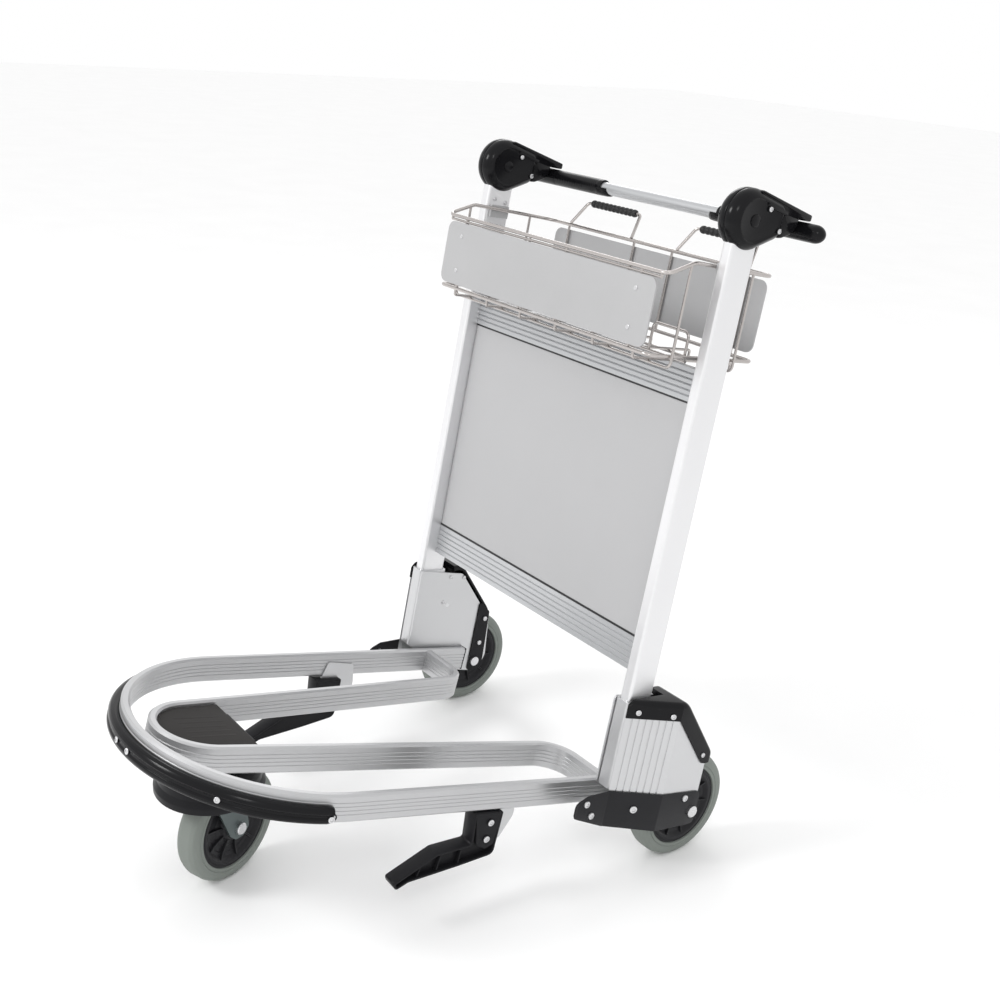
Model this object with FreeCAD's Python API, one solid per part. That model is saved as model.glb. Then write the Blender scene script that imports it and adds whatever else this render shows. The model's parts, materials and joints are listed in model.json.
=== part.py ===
"""Airport luggage trolley: a nesting cart with a dead-man brake handle.

Frame: X is lateral (+X is the trolley's left), -Y points forward to the nose, +Z is up.
The floor is z = 0. The model is laid out from the rear axle line and is centred on its
own box when the files are written.
"""
import FreeCAD
import Part
import math
import os

V = FreeCAD.Vector
X_AXIS = V(1, 0, 0)
Z_AXIS = V(0, 0, 1)

# ---- driving dimensions, millimetres and degrees ----
upright_half_span = 294.0

wheel_radius = 90.0
wheel_width = 38.0
hub_radius = 67.5
bearing_radius = 16.0
bearing_width = 10.0
axle_radius = 6.0
running_gap = 0.05

wheel_centre_x = upright_half_span + 6.0
front_wheel_y = -647.0
caster_trail = 36.0
caster_turn = 20.0
fork_plate = 4.0
fork_gap = 4.0
fork_top = 196.0
kingpin_radius = 7.0

upright_thickness = 21.0
upright_depth = 50.0
upright_wall = 2.2
upright_corner = 5.0
upright_lean = 7.8
upright_foot_y = -169.8
upright_top = 1018.0
sleeve_wall = 4.0
sleeve_bottom = 158.0
sleeve_top = 305.0

platform_tilt = 12.9
platform_height = 121.0
rail_height = 42.0
rail_thickness = 13.0
rail_wall = 2.0
rail_groove = 0.9
rail_groove_count = 4
outer_rail_half = upright_half_span - 35.0
outer_rail_taper = 0.045
outer_rail_rear = -31.0
nose_length = 809.0
inner_rail_half = 144.5
inner_rail_taper = 0.1
inner_nose_length = 781.0
inner_rail_rear = -121.0
inner_bend_radius = 50.0

bumper_thickness = 15.0
bumper_height = 25.0
bumper_end_y = -622.0
bumper_screw_angles = (12, 48, 86, 94, 132, 166)

bowl_radius = 82.0
bowl_height = 52.0
bowl_wall = 3.0
bowl_lip_z = 170.0

nose_plate_depth = 6.0
nose_plate_thickness = 4.0
nose_plate_rear = -650.0
mount_half_width = 45.0
mount_low = 52.0

panel_bottom = 394.5
panel_top = 770.0
panel_thickness = 6.0
rail_recess = 23.6
cross_rail_depth = 16.0
bottom_rail_low = 341.0
top_rail_high = 819.0
seal_height = 3.0

pod_side_x = upright_half_span + 40.0
pod_front_x = upright_half_span + sleeve_wall
pod_fold = 80.0
pod_rear = 164.0
pod_wall = 3.0
pod_low = 124.0
pod_cover_low = 282.0
pod_cover_high = 308.0
pod_slant_top = 92.0
pod_slant_end = 168.0
pod_slant_low = 220.0
bracket_wall = 2.5
bracket_low = 98.0
bracket_high = 157.0
bracket_lead = 68.0

pod_screw_places = [((12, 293), "diagonal"), ((66, 290), "diagonal"), ((150, 214), "side")]
bracket_screw_places = [((38, 128), "diagonal"), ((132, 140), "side"), ((-48, 142), "lead"),
                        ((-34, 120), "lead")]

basket_half = upright_half_span - 30.0
basket_front = -82.0
basket_rear = 140.0
basket_knee = -33.0
basket_floor = 824.0
basket_ring = 836.0
floor_pitch = 88.0
floor_drop = 12.0
hanger_front = -40.0
hanger_rear = 91.0
basket_rim = 966.0
basket_front_rim = 952.0
basket_knee_rim = 972.0
rim_wire = 3.0
fine_wire = 2.2
plate_half = basket_half - 13.0
back_plate_half = basket_half - 15.0
back_plate_high = 957.0
plate_low = 843.0
plate_high = 943.0
plate_thickness = 2.5
plate_corner = 14.0

loop_outer = 210.0
loop_inner = 54.0
loop_top = 1008.0
loop_lean = 22.0
loop_wire = 2.6
loop_grip = 6.5

pivot_back = 25.0
pivot_up = 1043.0
head_radius = 44.0
housing_half_width = 21.0
housing_round = 4.0
housing_wall = 3.0
tail_length = 121.0
tail_end_height = 1063.0
mouth_back = 86.0
mouth_low = 1022.5
bar_back = 134.0
bar_up = 1039.0
bar_radius = 10.0
saddle_gap = 0.6
tongue_thickness = 4.5
grip_radius = 13.5
grip_inner_x = 135.0
grip_outer_x = upright_half_span + 45.0
lever_x = upright_half_span - upright_thickness / 2 - 4.5
lever_thickness = 8.0
pin_radius = 4.0
rod_reach = 16.0
rod_radius = 3.0
link_pin = 2.5
link_clear = 0.6

shoe_pivot_back = 69.0
shoe_pivot_up = 233.5
shoe_gap = 0.6
shoe_thickness = 8.0

foot_y = -347.0
foot_width = 28.0
foot_plate = 3.0

# ---- small builders ----
nodes = {}
frame_screws = []


def add(name, shape):
    """Keep one named sub-part."""
    nodes[name] = shape


def mirrored(shape):
    """The same piece on the other side of the trolley."""
    return shape.mirror(V(0, 0, 0), X_AXIS)


def keep_screws(screws):
    """Collect the left side's screws and their mirror images."""
    frame_screws.extend(screws)
    frame_screws.extend(mirrored(one) for one in screws)


def add_pair(name, shape):
    """One piece on the left and its mirror image on the right."""
    add(name + "_left", shape)
    add(name + "_right", mirrored(shape))


def group(shapes):
    """Several separate solids in one node."""
    return Part.makeCompound(shapes)


def add_twins(name, shape):
    """A piece and its mirror image in one node, both fixed to the frame."""
    add(name, group([shape, mirrored(shape)]))


def both_sides(shapes):
    """A group of solids with its mirror images."""
    return group(shapes + [mirrored(s) for s in shapes])


def fuse(shapes):
    """Join touching solids into one."""
    return shapes[0].multiFuse(shapes[1:]).removeSplitter()


def box(x0, x1, y0, y1, z0, z1):
    return Part.makeBox(x1 - x0, y1 - y0, z1 - z0, V(x0, y0, z0))


def cyl_x(x0, x1, y, z, radius):
    return Part.makeCylinder(radius, x1 - x0, V(x0, y, z), X_AXIS)


def ring_x(x0, x1, y, z, outer, inner):
    return cyl_x(x0, x1, y, z, outer).cut(cyl_x(x0, x1, y, z, inner))


def cylinder(start, end, radius):
    return Part.makeCylinder(radius, (end - start).Length, start, end - start)


def face_of(points):
    return Part.Face(Part.makePolygon(points + [points[0]]))


def prism_x(outline, x0, x1):
    """Extrude a (y, z) outline along X."""
    return face_of([V(x0, y, z) for y, z in outline]).extrude(V(x1 - x0, 0, 0))


def prism_z(outline, z0, z1):
    """Extrude an (x, y) outline along Z."""
    return face_of([V(x, y, z0) for x, y in outline]).extrude(V(0, 0, z1 - z0))


def path(points, radii, closed=False):
    """Straight runs joined by tangent arcs, as one wire."""
    count = len(points)
    corners = []
    for i, point in enumerate(points):
        radius = radii[i]
        end = not closed and i in (0, count - 1)
        if end or radius == 0:
            corners.append((point, None, point))
            continue
        back = (points[i - 1] - point).normalize()
        ahead = (points[(i + 1) % count] - point).normalize()
        half = back.getAngle(ahead) / 2
        tangent = radius / math.tan(half)
        bisector = (back + ahead).normalize()
        middle = point + bisector * (radius / math.sin(half) - radius)
        corners.append((point + back * tangent, middle, point + ahead * tangent))
    edges = []
    for i in range(count):
        enter, middle, leave = corners[i]
        if middle is not None:
            edges.append(Part.Arc(enter, middle, leave).toShape())
        if i == count - 1 and not closed:
            break
        following = corners[(i + 1) % count][0]
        if (following - leave).Length > 1e-6:
            edges.append(Part.LineSegment(leave, following).toShape())
    return Part.Wire(edges)


def rounded_outline(outline, radii, x0, x1):
    """Extrude a (y, z) outline with rounded corners along X."""
    wire = path([V(x0, y, z) for y, z in outline], radii, closed=True)
    return Part.Face(wire).extrude(V(x1 - x0, 0, 0))


def bent_rod(points, bends, radius, closed=False):
    """A round wire bent along a route."""
    route = path(points, bends, closed)
    first = route.OrderedEdges[0]
    start = first.valueAt(first.FirstParameter)
    direction = first.tangentAt(first.FirstParameter)
    section = Part.Wire(Part.makeCircle(radius, start, direction))
    return route.makePipeShell([section], True, False)


def sweep_level(route, section_at):
    """Carry a section along a level route of lines and arcs, piece by piece."""
    pieces = []
    for edge in route.OrderedEdges:
        start = edge.valueAt(edge.FirstParameter)
        end = edge.valueAt(edge.LastParameter)
        direction = edge.tangentAt(edge.FirstParameter)
        section = section_at(start, direction)
        if isinstance(edge.Curve, Part.Line):
            pieces.append(section.extrude(end - start))
        else:
            turn = math.degrees(edge.Length / edge.Curve.Radius)
            pieces.append(section.revolve(edge.Curve.Center, edge.Curve.Axis, turn))
    return fuse(pieces)


def screw(at, direction, head_radius, head_height, shank_radius, length):
    """A round-headed screw: the head stands out of the face, the shank goes in."""
    out = V(direction).normalize()
    dome = Part.makeCylinder(head_radius, head_height, at, out)
    edges = [e for e in dome.Edges if (e.CenterOfMass - at).Length > head_height * 0.5]
    far = [e for e in edges if abs((e.CenterOfMass - at).dot(out) - head_height) < 1e-6]
    dome = dome.makeFillet(head_height * 0.6, far)
    return dome.fuse(Part.makeCylinder(shank_radius, length, at, out * -1)).removeSplitter()


def hole(at, direction, radius, length):
    """A cutter for a screw's hole, a little proud of the face it enters."""
    out = V(direction).normalize()
    return Part.makeCylinder(radius, length + 1.0, at + out, out * -1)


def to_upright(shape):
    """Move from the upright's own frame: local y rearward, local z along the upright."""
    moved = shape.copy()
    moved.rotate(V(0, 0, 0), X_AXIS, -upright_lean)
    moved.translate(V(0, upright_foot_y, 0))
    return moved


def upright_point(x, back, up):
    """A point given in the upright's frame, in the trolley's frame."""
    lean = math.radians(upright_lean)
    y = upright_foot_y + back * math.cos(lean) + up * math.sin(lean)
    return V(x, y, up * math.cos(lean) - back * math.sin(lean))


def in_upright(point):
    """A point of the trolley's frame, in the upright's frame."""
    lean = math.radians(upright_lean)
    y = point.y - upright_foot_y
    back = y * math.cos(lean) - point.z * math.sin(lean)
    return V(point.x, back, y * math.sin(lean) + point.z * math.cos(lean))


def to_platform(shape):
    """Move from the platform's own frame: local z = 0 is the rails' top."""
    moved = shape.copy()
    moved.rotate(V(0, 0, 0), X_AXIS, -platform_tilt)
    moved.translate(V(0, 0, platform_height))
    return moved


# ---- base rails ----
def nose_arc(half, taper, length):
    """Radius and centre of the nose arc that meets both tapering sides."""
    c = math.cos(math.atan(taper))
    radius = c * (half - taper * length) / (1 - taper * c)
    return radius, length - radius


def rail_section(start, direction, extra=0.0):
    """The grooved flat tube's section, standing across the route."""
    across = V(direction.y, -direction.x, 0).normalize()
    half = rail_thickness / 2
    crown = half * 0.45
    low = -rail_height
    pitch = (rail_height - 12.0) / (rail_groove_count + 1)
    side = []
    for i in range(rail_groove_count):
        z = low + 6.0 + pitch * (i + 1)
        side += [(half, z - rail_groove), (half - rail_groove, z), (half, z + rail_groove)]
    right = [(half - crown, low), (half, low + crown)] + side
    right += [(half, -crown), (half - crown, 0)]
    left = [(-a, z) for a, z in reversed(right)]
    points = [start + across * a + V(0, 0, z) for a, z in right + left]
    inner = half - rail_wall - rail_groove * 0.4
    ends = [(inner, low + rail_wall), (inner, -rail_wall)]
    ends += [(-inner, -rail_wall), (-inner, low + rail_wall)]
    hollow = [start + across * a + V(0, 0, z) for a, z in ends]
    return face_of(points).cut(face_of(hollow))


def outer_route(rear):
    """Centre line of the outer rail, from one rear end round the nose to the other."""
    radius = nose_arc(outer_rail_half, outer_rail_taper, nose_length)[0]
    end = outer_rail_half + outer_rail_taper * rear
    apex = V(0, -outer_rail_half / outer_rail_taper, 0)
    return path([V(end, rear, 0), apex, V(-end, rear, 0)], [0, radius, 0])


def inner_route():
    """Centre line of the inner rail, with its two ends bent out to the outer rail."""
    radius = nose_arc(inner_rail_half, inner_rail_taper, inner_nose_length)[0]
    half_outer = outer_rail_half + outer_rail_taper * inner_rail_rear
    end = half_outer - rail_thickness / 2
    corner = inner_rail_half + inner_rail_taper * inner_rail_rear
    apex = V(0, -inner_rail_half / inner_rail_taper, 0)
    points = [V(end, inner_rail_rear, 0), V(corner, inner_rail_rear, 0), apex]
    points += [V(-corner, inner_rail_rear, 0), V(-end, inner_rail_rear, 0)]
    return path(points, [0, inner_bend_radius, radius, inner_bend_radius, 0])


def make_rails():
    outer = sweep_level(outer_route(outer_rail_rear), rail_section)
    inner = sweep_level(inner_route(), rail_section)
    add("outer_rail", to_platform(outer))
    add("inner_rail", to_platform(inner.cut(outer)))
    add("rail_end_caps", to_platform(make_rail_caps().cut(outer)))


def make_rail_caps():
    """Plugs for the open rear ends of the outer rail."""
    inner = rail_thickness / 2 - rail_wall - rail_groove * 0.4
    x = outer_rail_half + outer_rail_taper * outer_rail_rear
    y = outer_rail_rear
    half = rail_thickness / 2
    plate = box(x - half, x + half, y, y + 2.5, -rail_height, 0)
    plug = box(x - inner + 0.6, x + inner - 0.6, y - 12, y, 2.6 - rail_height, -2.6)
    return both_sides([fuse([plate, plug])])


def bumper_depth():
    """Height of the strip's middle in the platform's frame: flush with the rail's lower edge."""
    return -rail_height + bumper_height / 2 + 0.3


def bumper_profile(start, direction):
    """Rounded strip section on the rail's outer face, with a ridge."""
    across = V(direction.y, -direction.x, 0).normalize()
    face = -rail_thickness / 2
    middle = bumper_depth()
    half = bumper_height / 2
    out = face - bumper_thickness
    shape = [(face, middle - half), (out + 6, middle - half), (out + 1.5, middle - half + 6)]
    shape += [(out, middle - 3), (out + 2.2, middle), (out, middle + 3)]
    shape += [(out + 1.5, middle + half - 6), (out + 6, middle + half), (face, middle + half)]
    return face_of([start + across * a + V(0, 0, z) for a, z in shape])


def bumper_screw_places():
    """Where the screws go, as (point, outward direction) on the strip's face."""
    radius, centre = nose_arc(outer_rail_half, outer_rail_taper, nose_length)
    reach = radius + rail_thickness / 2 + bumper_thickness
    depth = bumper_depth()
    places = []
    for degrees in bumper_screw_angles:
        angle = math.radians(degrees)
        out = V(math.cos(angle), -math.sin(angle), 0)
        places.append((V(0, -centre, depth) + out * (reach - 2.3), out))
    return places


def make_bumper():
    strip = sweep_level(outer_route(outer_rail_rear), bumper_profile)
    keep = box(-400, 400, -nose_length - 60, bumper_end_y, -rail_height - 5, 5)
    strip = strip.common(keep)
    screws = []
    for at, out in bumper_screw_places():
        sink = Part.makeCylinder(4.4, 5.0, at, out)
        strip = strip.cut(sink).cut(hole(at, out, 2.1, 12.0))
        screws.append(screw(at, out, 4.0, 1.6, 2.0, 11.0))
    add("nose_bumper", to_platform(strip))
    frame_screws.extend(to_platform(one) for one in screws)


# ---- nose plate and caster mount ----

def inner_nose_outline(inset, rear, low, high):
    """Solid that fills the inner rail's nose, from its tip back to a rear edge."""
    radius, centre = nose_arc(inner_rail_half, inner_rail_taper, inner_nose_length)
    clear = radius - rail_thickness / 2 - inset
    lean = math.atan(inner_rail_taper)
    c = math.cos(lean)
    s = math.sin(lean)
    meet = V(clear * c, -centre + clear * s, low)
    wide = meet.x + (rear - meet.y) * inner_rail_taper
    corners = [V(-meet.x, meet.y, low), V(-wide, rear, low), V(wide, rear, low), meet]
    edges = [line(a, b) for a, b in zip(corners, corners[1:])]
    edges.append(Part.Arc(meet, V(0, -centre - clear, low), corners[0]).toShape())
    return Part.Face(Part.Wire(edges)).extrude(V(0, 0, high - low))


def kingpin_place():
    """The caster's swivel point on the floor plane."""
    turn = math.radians(caster_turn)
    return V(0, front_wheel_y - caster_trail * math.cos(turn), 0)


def make_nose():
    """Plate in the nose, the mount below it and the caster's cover bowl."""
    pin = kingpin_place()
    top = -nose_plate_depth
    plate = inner_nose_outline(0.3, nose_plate_rear, top - nose_plate_thickness, top)
    bore = Part.makeCylinder(kingpin_radius + 0.1, 400, V(pin.x, pin.y, 0), Z_AXIS)
    add("nose_plate", to_platform(plate))
    block = box(-mount_half_width, mount_half_width, -pin_reach_front(), nose_plate_rear + 6,
                -mount_low, top - nose_plate_thickness)
    world = to_platform(block)
    floor_cut = box(-200, 200, -1000, 0, 0, bowl_lip_z + bowl_height)
    world = world.cut(floor_cut).cut(bore)
    add("caster_mount", world)


def pin_reach_front():
    """How far ahead of the axle line the mount block starts, in the platform's frame."""
    pin = kingpin_place()
    return abs(pin.y) / math.cos(math.radians(platform_tilt)) + 30.0


def bowl_profile():
    """Half section of the bowl, radius against height from the lip."""
    r = bowl_radius
    w = bowl_wall
    h = bowl_height
    outer = [(r - w, 0), (r - 1, 1), (r, 4), (r, 13), (r - 5, 22), (r - 7, h - 14), (r - 16, h)]
    inner = [(kingpin_radius + 0.1, h), (kingpin_radius + 0.1, h - w), (r - 18, h - w)]
    inner += [(r - 7 - w, h - 15), (r - 5 - w, 21), (r - w, 12)]
    return outer + inner


def make_bowl():
    pin = kingpin_place()
    points = [V(pin.x + r, pin.y, bowl_lip_z + h) for r, h in bowl_profile()]
    bowl = face_of(points).revolve(V(pin.x, pin.y, 0), Z_AXIS, 360)
    add("caster_housing", bowl)


# ---- wheels ----
def hub_profile():
    """Half section of the spoked-look hub: radius against width from the centre."""
    half = wheel_width / 2
    bore = bearing_radius
    return [
        (bore, -half), (bore + 6, -half), (bore + 9, -half + 8), (hub_radius - 14, -half + 9),
        (hub_radius - 9, -half + 2), (hub_radius, -half + 2), (hub_radius, half - 2),
        (hub_radius - 9, half - 2), (hub_radius - 14, half - 9), (bore + 9, half - 8),
        (bore + 6, half), (bore, half),
    ]


def tyre_profile():
    """Half section of the tyre, with a flat tread and rounded shoulders."""
    half = wheel_width / 2
    r = wheel_radius
    return [
        (hub_radius, -half + 2), (hub_radius + 2, -half), (r - 9, -half), (r - 3, -half + 3.5),
        (r, -half + 9), (r, half - 9), (r - 3, half - 3.5), (r - 9, half),
        (hub_radius + 2, half), (hub_radius, half - 2),
    ]


def revolve_about(profile, centre, axis, radial):
    """Turn a (radius, along) profile about an axle."""
    points = [centre + radial * r + axis * a for r, a in profile]
    return face_of(points).revolve(centre, axis, 360)


def make_wheel(name, centre, axis):
    """Tyre, hub and two bearings on one axle line."""
    radial = V(0, 0, 1)
    half = wheel_width / 2
    bore = axle_radius + running_gap
    hub = revolve_about(hub_profile(), centre, axis, radial)
    web = Part.makeCylinder(bearing_radius, wheel_width - 2 * bearing_width,
                            centre - axis * (half - bearing_width), axis)
    clear = Part.makeCylinder(axle_radius + 3.0, wheel_width, centre - axis * half, axis)
    hub = hub.fuse(web.cut(clear)).removeSplitter()
    bearings = []
    for start in (-half, half - bearing_width):
        ring = Part.makeCylinder(bearing_radius, bearing_width, centre + axis * start, axis)
        ring = ring.cut(Part.makeCylinder(bore, bearing_width, centre + axis * start, axis))
        bearings.append(ring)
    add(name + "_tyre", revolve_about(tyre_profile(), centre, axis, radial))
    add(name + "_hub", hub)
    add(name + "_bearings", group(bearings))


def make_rear_wheels():
    for side, sign in (("left", 1), ("right", -1)):
        centre = V(sign * wheel_centre_x, 0, wheel_radius)
        make_wheel("rear_wheel_" + side, centre, V(1, 0, 0))


# ---- caster ----
def caster_axis():
    turn = math.radians(caster_turn)
    return V(math.cos(turn), math.sin(turn), 0)


def caster_centre():
    turn = math.radians(caster_turn)
    pin = kingpin_place()
    back = V(-math.sin(turn), math.cos(turn), 0)
    return V(pin.x, pin.y, wheel_radius) + back * caster_trail


def turned(shape):
    """Turn a piece laid out straight ahead with the caster."""
    moved = shape.copy()
    moved.rotate(kingpin_place(), Z_AXIS, caster_turn)
    return moved


def make_fork():
    """Pressed fork: a crown disc under the bowl and two tapering legs."""
    pin = kingpin_place()
    inside = wheel_width / 2 + fork_gap
    outside = inside + fork_plate
    axle_y = pin.y + caster_trail
    legs = []
    outline = [(pin.y - 34, fork_top), (pin.y + 40, fork_top), (axle_y + 20, wheel_radius - 6)]
    outline += [(axle_y + 8, wheel_radius - 17), (axle_y - 8, wheel_radius - 17)]
    outline += [(axle_y - 20, wheel_radius - 6)]
    for side in (-1, 1):
        x0, x1 = sorted((side * inside, side * outside))
        legs.append(rounded_outline(outline, [6, 6, 8, 8, 8, 8], x0, x1))
    crown = box(-outside, outside, pin.y - 34, pin.y + 40, fork_top, fork_top + fork_plate)
    fork = fuse(legs + [crown])
    fork = fork.cut(cyl_x(-60, 60, axle_y, wheel_radius, axle_radius + running_gap))
    seat = kingpin_radius + running_gap
    fork = fork.cut(Part.makeCylinder(seat, 80, V(pin.x, pin.y, 160), Z_AXIS))
    add("caster_fork", turned(fork))
    head = cyl_x(outside, outside + 6, axle_y, wheel_radius, 9.5)
    head = head.makeChamfer(1.5, [head.Edges[0]])
    shaft = cyl_x(-outside - 6, outside, axle_y, wheel_radius, axle_radius)
    nut = cyl_x(-outside - 7, -outside, axle_y, wheel_radius, 9.5)
    spacers = [fuse([head, shaft, nut])]
    for side in (-1, 1):
        x0, x1 = sorted((side * (wheel_width / 2 + 0.3), side * inside))
        spacers.append(ring_x(x0, x1, axle_y, wheel_radius, 9.0, axle_radius + 0.02))
    add("caster_axle", turned(group(spacers)))


def make_kingpin():
    """Pin through the mount and bowl, with the swivel bearing above the fork."""
    pin = kingpin_place()
    head_low = fork_top - 7.0
    under_plate = platform_top_at(pin.y) - nose_plate_depth - nose_plate_thickness - 3.0
    shank = Part.makeCylinder(kingpin_radius, under_plate - head_low,
                              V(pin.x, pin.y, head_low), Z_AXIS)
    head = Part.makeCylinder(13, 6.5, V(pin.x, pin.y, head_low - 0.1), Z_AXIS)
    add("caster_kingpin", shank.fuse(head).removeSplitter())
    low = fork_top + fork_plate + 0.3
    high = bowl_lip_z + bowl_height - bowl_wall
    race = Part.makeCylinder(26, high - low, V(pin.x, pin.y, low), Z_AXIS)
    bore = Part.makeCylinder(kingpin_radius + 0.02, high - low, V(pin.x, pin.y, low), Z_AXIS)
    add("caster_bearing", race.cut(bore))


def platform_top_at(y):
    """Height of the rails' top over the floor at a place along the trolley."""
    return platform_height - y * math.tan(math.radians(platform_tilt))


# ---- uprights, cross rails and panel ----
def tube_section(x0, x1, y0, y1, wall, corner, z0, z1):
    """Rectangular tube along Z with rounded outer corners."""
    outer = box(x0, x1, y0, y1, z0, z1)
    edges = [e for e in outer.Edges if abs(e.tangentAt(0).z) > 0.9]
    outer = outer.makeFillet(corner, edges)
    return outer.cut(box(x0 + wall, x1 - wall, y0 + wall, y1 - wall, z0 - 1, z1 + 1))


def make_uprights():
    outer = upright_half_span
    inner = outer - upright_thickness
    tube = tube_section(inner, outer, 0, upright_depth, upright_wall, upright_corner,
                        sleeve_bottom + 2.0, upright_top)
    gap = 0.05
    w = sleeve_wall
    sleeve = tube_section(inner - w, outer + w, -w, upright_depth + w, w - gap,
                          upright_corner + 1, sleeve_bottom, sleeve_top)
    slot = box(lever_x - 2, outer - upright_wall, upright_depth - 6, upright_depth + w + 2,
               shoe_pivot_up - 11, shoe_pivot_up + 11)
    tube = tube.cut(slot)
    sleeve = sleeve.cut(slot)
    add_pair("upright", to_upright(tube))
    add_twins("upright_sleeves", to_upright(sleeve))


def cross_rail(low, high):
    """Grooved extrusion between the uprights."""
    half = upright_half_span - upright_thickness
    front = rail_recess
    back = front + cross_rail_depth
    body = [(front, low), (back, low), (back, high), (front, high)]
    count = 5
    pitch = (high - low) / (count + 1)
    face = []
    for i in range(count):
        z = high - pitch * (i + 1)
        face += [(front, z + 1.6), (front + 1.8, z), (front, z - 1.6)]
    solid = prism_x(body + face, -half, half)
    hollow = box(-half, half, front + 4, back - 2.5, low + 3, high - 3)
    return solid.cut(hollow)


def make_panel():
    half = upright_half_span - upright_thickness
    add("bottom_rail", to_upright(cross_rail(bottom_rail_low, panel_bottom)))
    add("top_rail", to_upright(cross_rail(panel_top, top_rail_high)))
    front = rail_recess + 1.5
    low = panel_bottom + seal_height
    high = panel_top - seal_height
    panel = box(-half + 0.5, half - 0.5, front, front + panel_thickness, low, high)
    add("ad_panel", to_upright(panel))
    seals = []
    for z in (panel_bottom, high):
        seals.append(box(-half + 0.5, half - 0.5, front - 0.8, front + panel_thickness + 1,
                         z, z + seal_height))
    add("panel_seals", to_upright(group(seals)))
    lock = cylinder(V(-half, front + 24, 580), V(-half + 4, front + 24, 580), 5.5)
    add("panel_lock", to_upright(lock))


def make_upright_screws():
    """Screws on the inner faces below the housings."""
    x = upright_half_span - upright_thickness
    screws = []
    for back, up in ((14, 986), (38, 982)):
        screws.append(screw(V(x, back, up), V(-1, 0, 0), 3.6, 1.6, 1.8, 2.0))
    bores = [hole(V(x, b, u), V(-1, 0, 0), 1.85, 3.0) for b, u in ((14, 986), (38, 982))]
    cutter = to_upright(group(bores))
    nodes["upright_left"] = nodes["upright_left"].cut(cutter)
    nodes["upright_right"] = nodes["upright_right"].cut(mirrored(cutter))
    keep_screws([to_upright(one) for one in screws])


# ---- rear wheel pods ----
def pod_plan(offset):
    """The pod's outer plan line, moved outward by an offset, front to rear."""
    run = pod_fold + sleeve_wall
    rise = pod_side_x - pod_front_x
    length = math.hypot(run, rise)
    shift = offset * length / run
    fold_shift = offset * (length - rise) / run
    front = (pod_front_x + shift, -sleeve_wall)
    fold = (pod_side_x + offset, pod_fold - fold_shift)
    rear = (pod_side_x + offset, pod_rear)
    return front, fold, rear


def pod_wall_prism(inner_offset, outer_offset, low, high):
    """Bent wall between two offsets of the pod's plan line."""
    outer = list(pod_plan(outer_offset))
    inner = list(pod_plan(inner_offset))
    return prism_z(outer + inner[::-1], low, high)


def slant_cutter(lift):
    """Everything above the pod's sloping back, as a tall wedge."""
    slope = (pod_slant_low - pod_cover_high) / (pod_slant_end - pod_slant_top)
    start = (pod_slant_top, pod_cover_high - 12 + lift)
    far = (pod_slant_end + 80, start[1] + slope * (pod_slant_end + 80 - pod_slant_top))
    outline = [start, far, (far[0], 600), (start[0], 600)]
    return prism_x(outline, 200, 400)


def make_pod_shell():
    shell = pod_wall_prism(-pod_wall, 0, pod_low, pod_cover_high - 8)
    shell = shell.cut(slant_cutter(0))
    sleeve_side = box(0, sleeve_x_outer(), -60, upright_depth + sleeve_wall, 0, 600)
    shell = shell.cut(sleeve_side)
    front, fold, rear = pod_plan(0)
    count = 8
    for i in range(1, count):
        t = i / count
        x = front[0] + (fold[0] - front[0]) * t
        y = front[1] + (fold[1] - front[1]) * t
        cutter = Part.makeCylinder(1.3, 400, V(x, y, 0), Z_AXIS)
        shell = shell.cut(cutter)
    return shell


def make_pod_cover():
    """Black moulded top and sloping back strap, over the shell's edges."""
    base = sleeve_x_outer()
    outer = list(pod_plan(pod_wall))
    outline = [(base, outer[0][1])] + outer
    outline[-1] = (outer[2][0], pod_slant_end + 4)
    outline.append((inner_plate_x(), pod_slant_end + 4))
    outline.append((inner_plate_x(), upright_depth + sleeve_wall + 0.2))
    outline += [(base, upright_depth + sleeve_wall + 0.2)]
    block = prism_z(outline, pod_slant_low - 24, pod_cover_high)
    hood = block.cut(slant_cutter(pod_wall + 1))
    room = list(pod_plan(0.1))
    room[0] = (room[0][0], room[0][1] - 1)
    outline = [(base - 1, room[0][1])] + room
    outline[-1] = (room[2][0], pod_slant_end + 10)
    outline += [(inner_plate_x() - 1, pod_slant_end + 10), (inner_plate_x() - 1, 0)]
    cavity = prism_z(outline, 0, pod_cover_high - 4).cut(slant_cutter(0.3))
    hood = hood.cut(cavity)
    window = cover_window()
    return hood.cut(window)


def cover_window():
    """What is taken off the cover's side, so that a band and a strap stay."""
    slope = (pod_slant_low - pod_cover_high) / (pod_slant_end - pod_slant_top)
    top = pod_cover_low
    start = pod_slant_top - 8
    end = pod_slant_end + 12
    outline = [(-30, top), (start, top), (end, top + slope * (end - start))]
    outline += [(end, 0), (-30, 0)]
    side = prism_x(outline, 296, 400)
    lower = box(200, 400, 150, 200, 0, pod_slant_low - 22)
    return fuse([side, lower])


def sleeve_x_outer():
    """Outer face of the sleeve."""
    return upright_half_span + sleeve_wall


def inner_plate_x():
    """Inner face of the pod's inner plate, against the rail."""
    return upright_half_span - upright_thickness - sleeve_wall - pod_wall


def axle_local():
    return in_upright(V(wheel_centre_x, 0, wheel_radius))


def make_inner_plate():
    axle = axle_local()
    slope = (pod_slant_low - pod_cover_high) / (pod_slant_end - pod_slant_top)
    end = pod_slant_end + 8
    low_end = pod_cover_high - 12 + slope * (end - pod_slant_top)
    outline = [(-sleeve_wall, sleeve_bottom), (-sleeve_wall, pod_cover_high - 2)]
    outline += [(upright_depth, pod_cover_high - 8), (pod_slant_top, pod_cover_high - 12)]
    outline += [(end, low_end), (axle.y + 28, axle.z + 10), (axle.y + 16, axle.z - 24)]
    outline += [(axle.y - 40, axle.z - 16)]
    x = inner_plate_x()
    radii = [4, 6, 30, 10, 8, 16, 22, 20]
    return rounded_outline(outline, radii, x, x + pod_wall)


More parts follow.
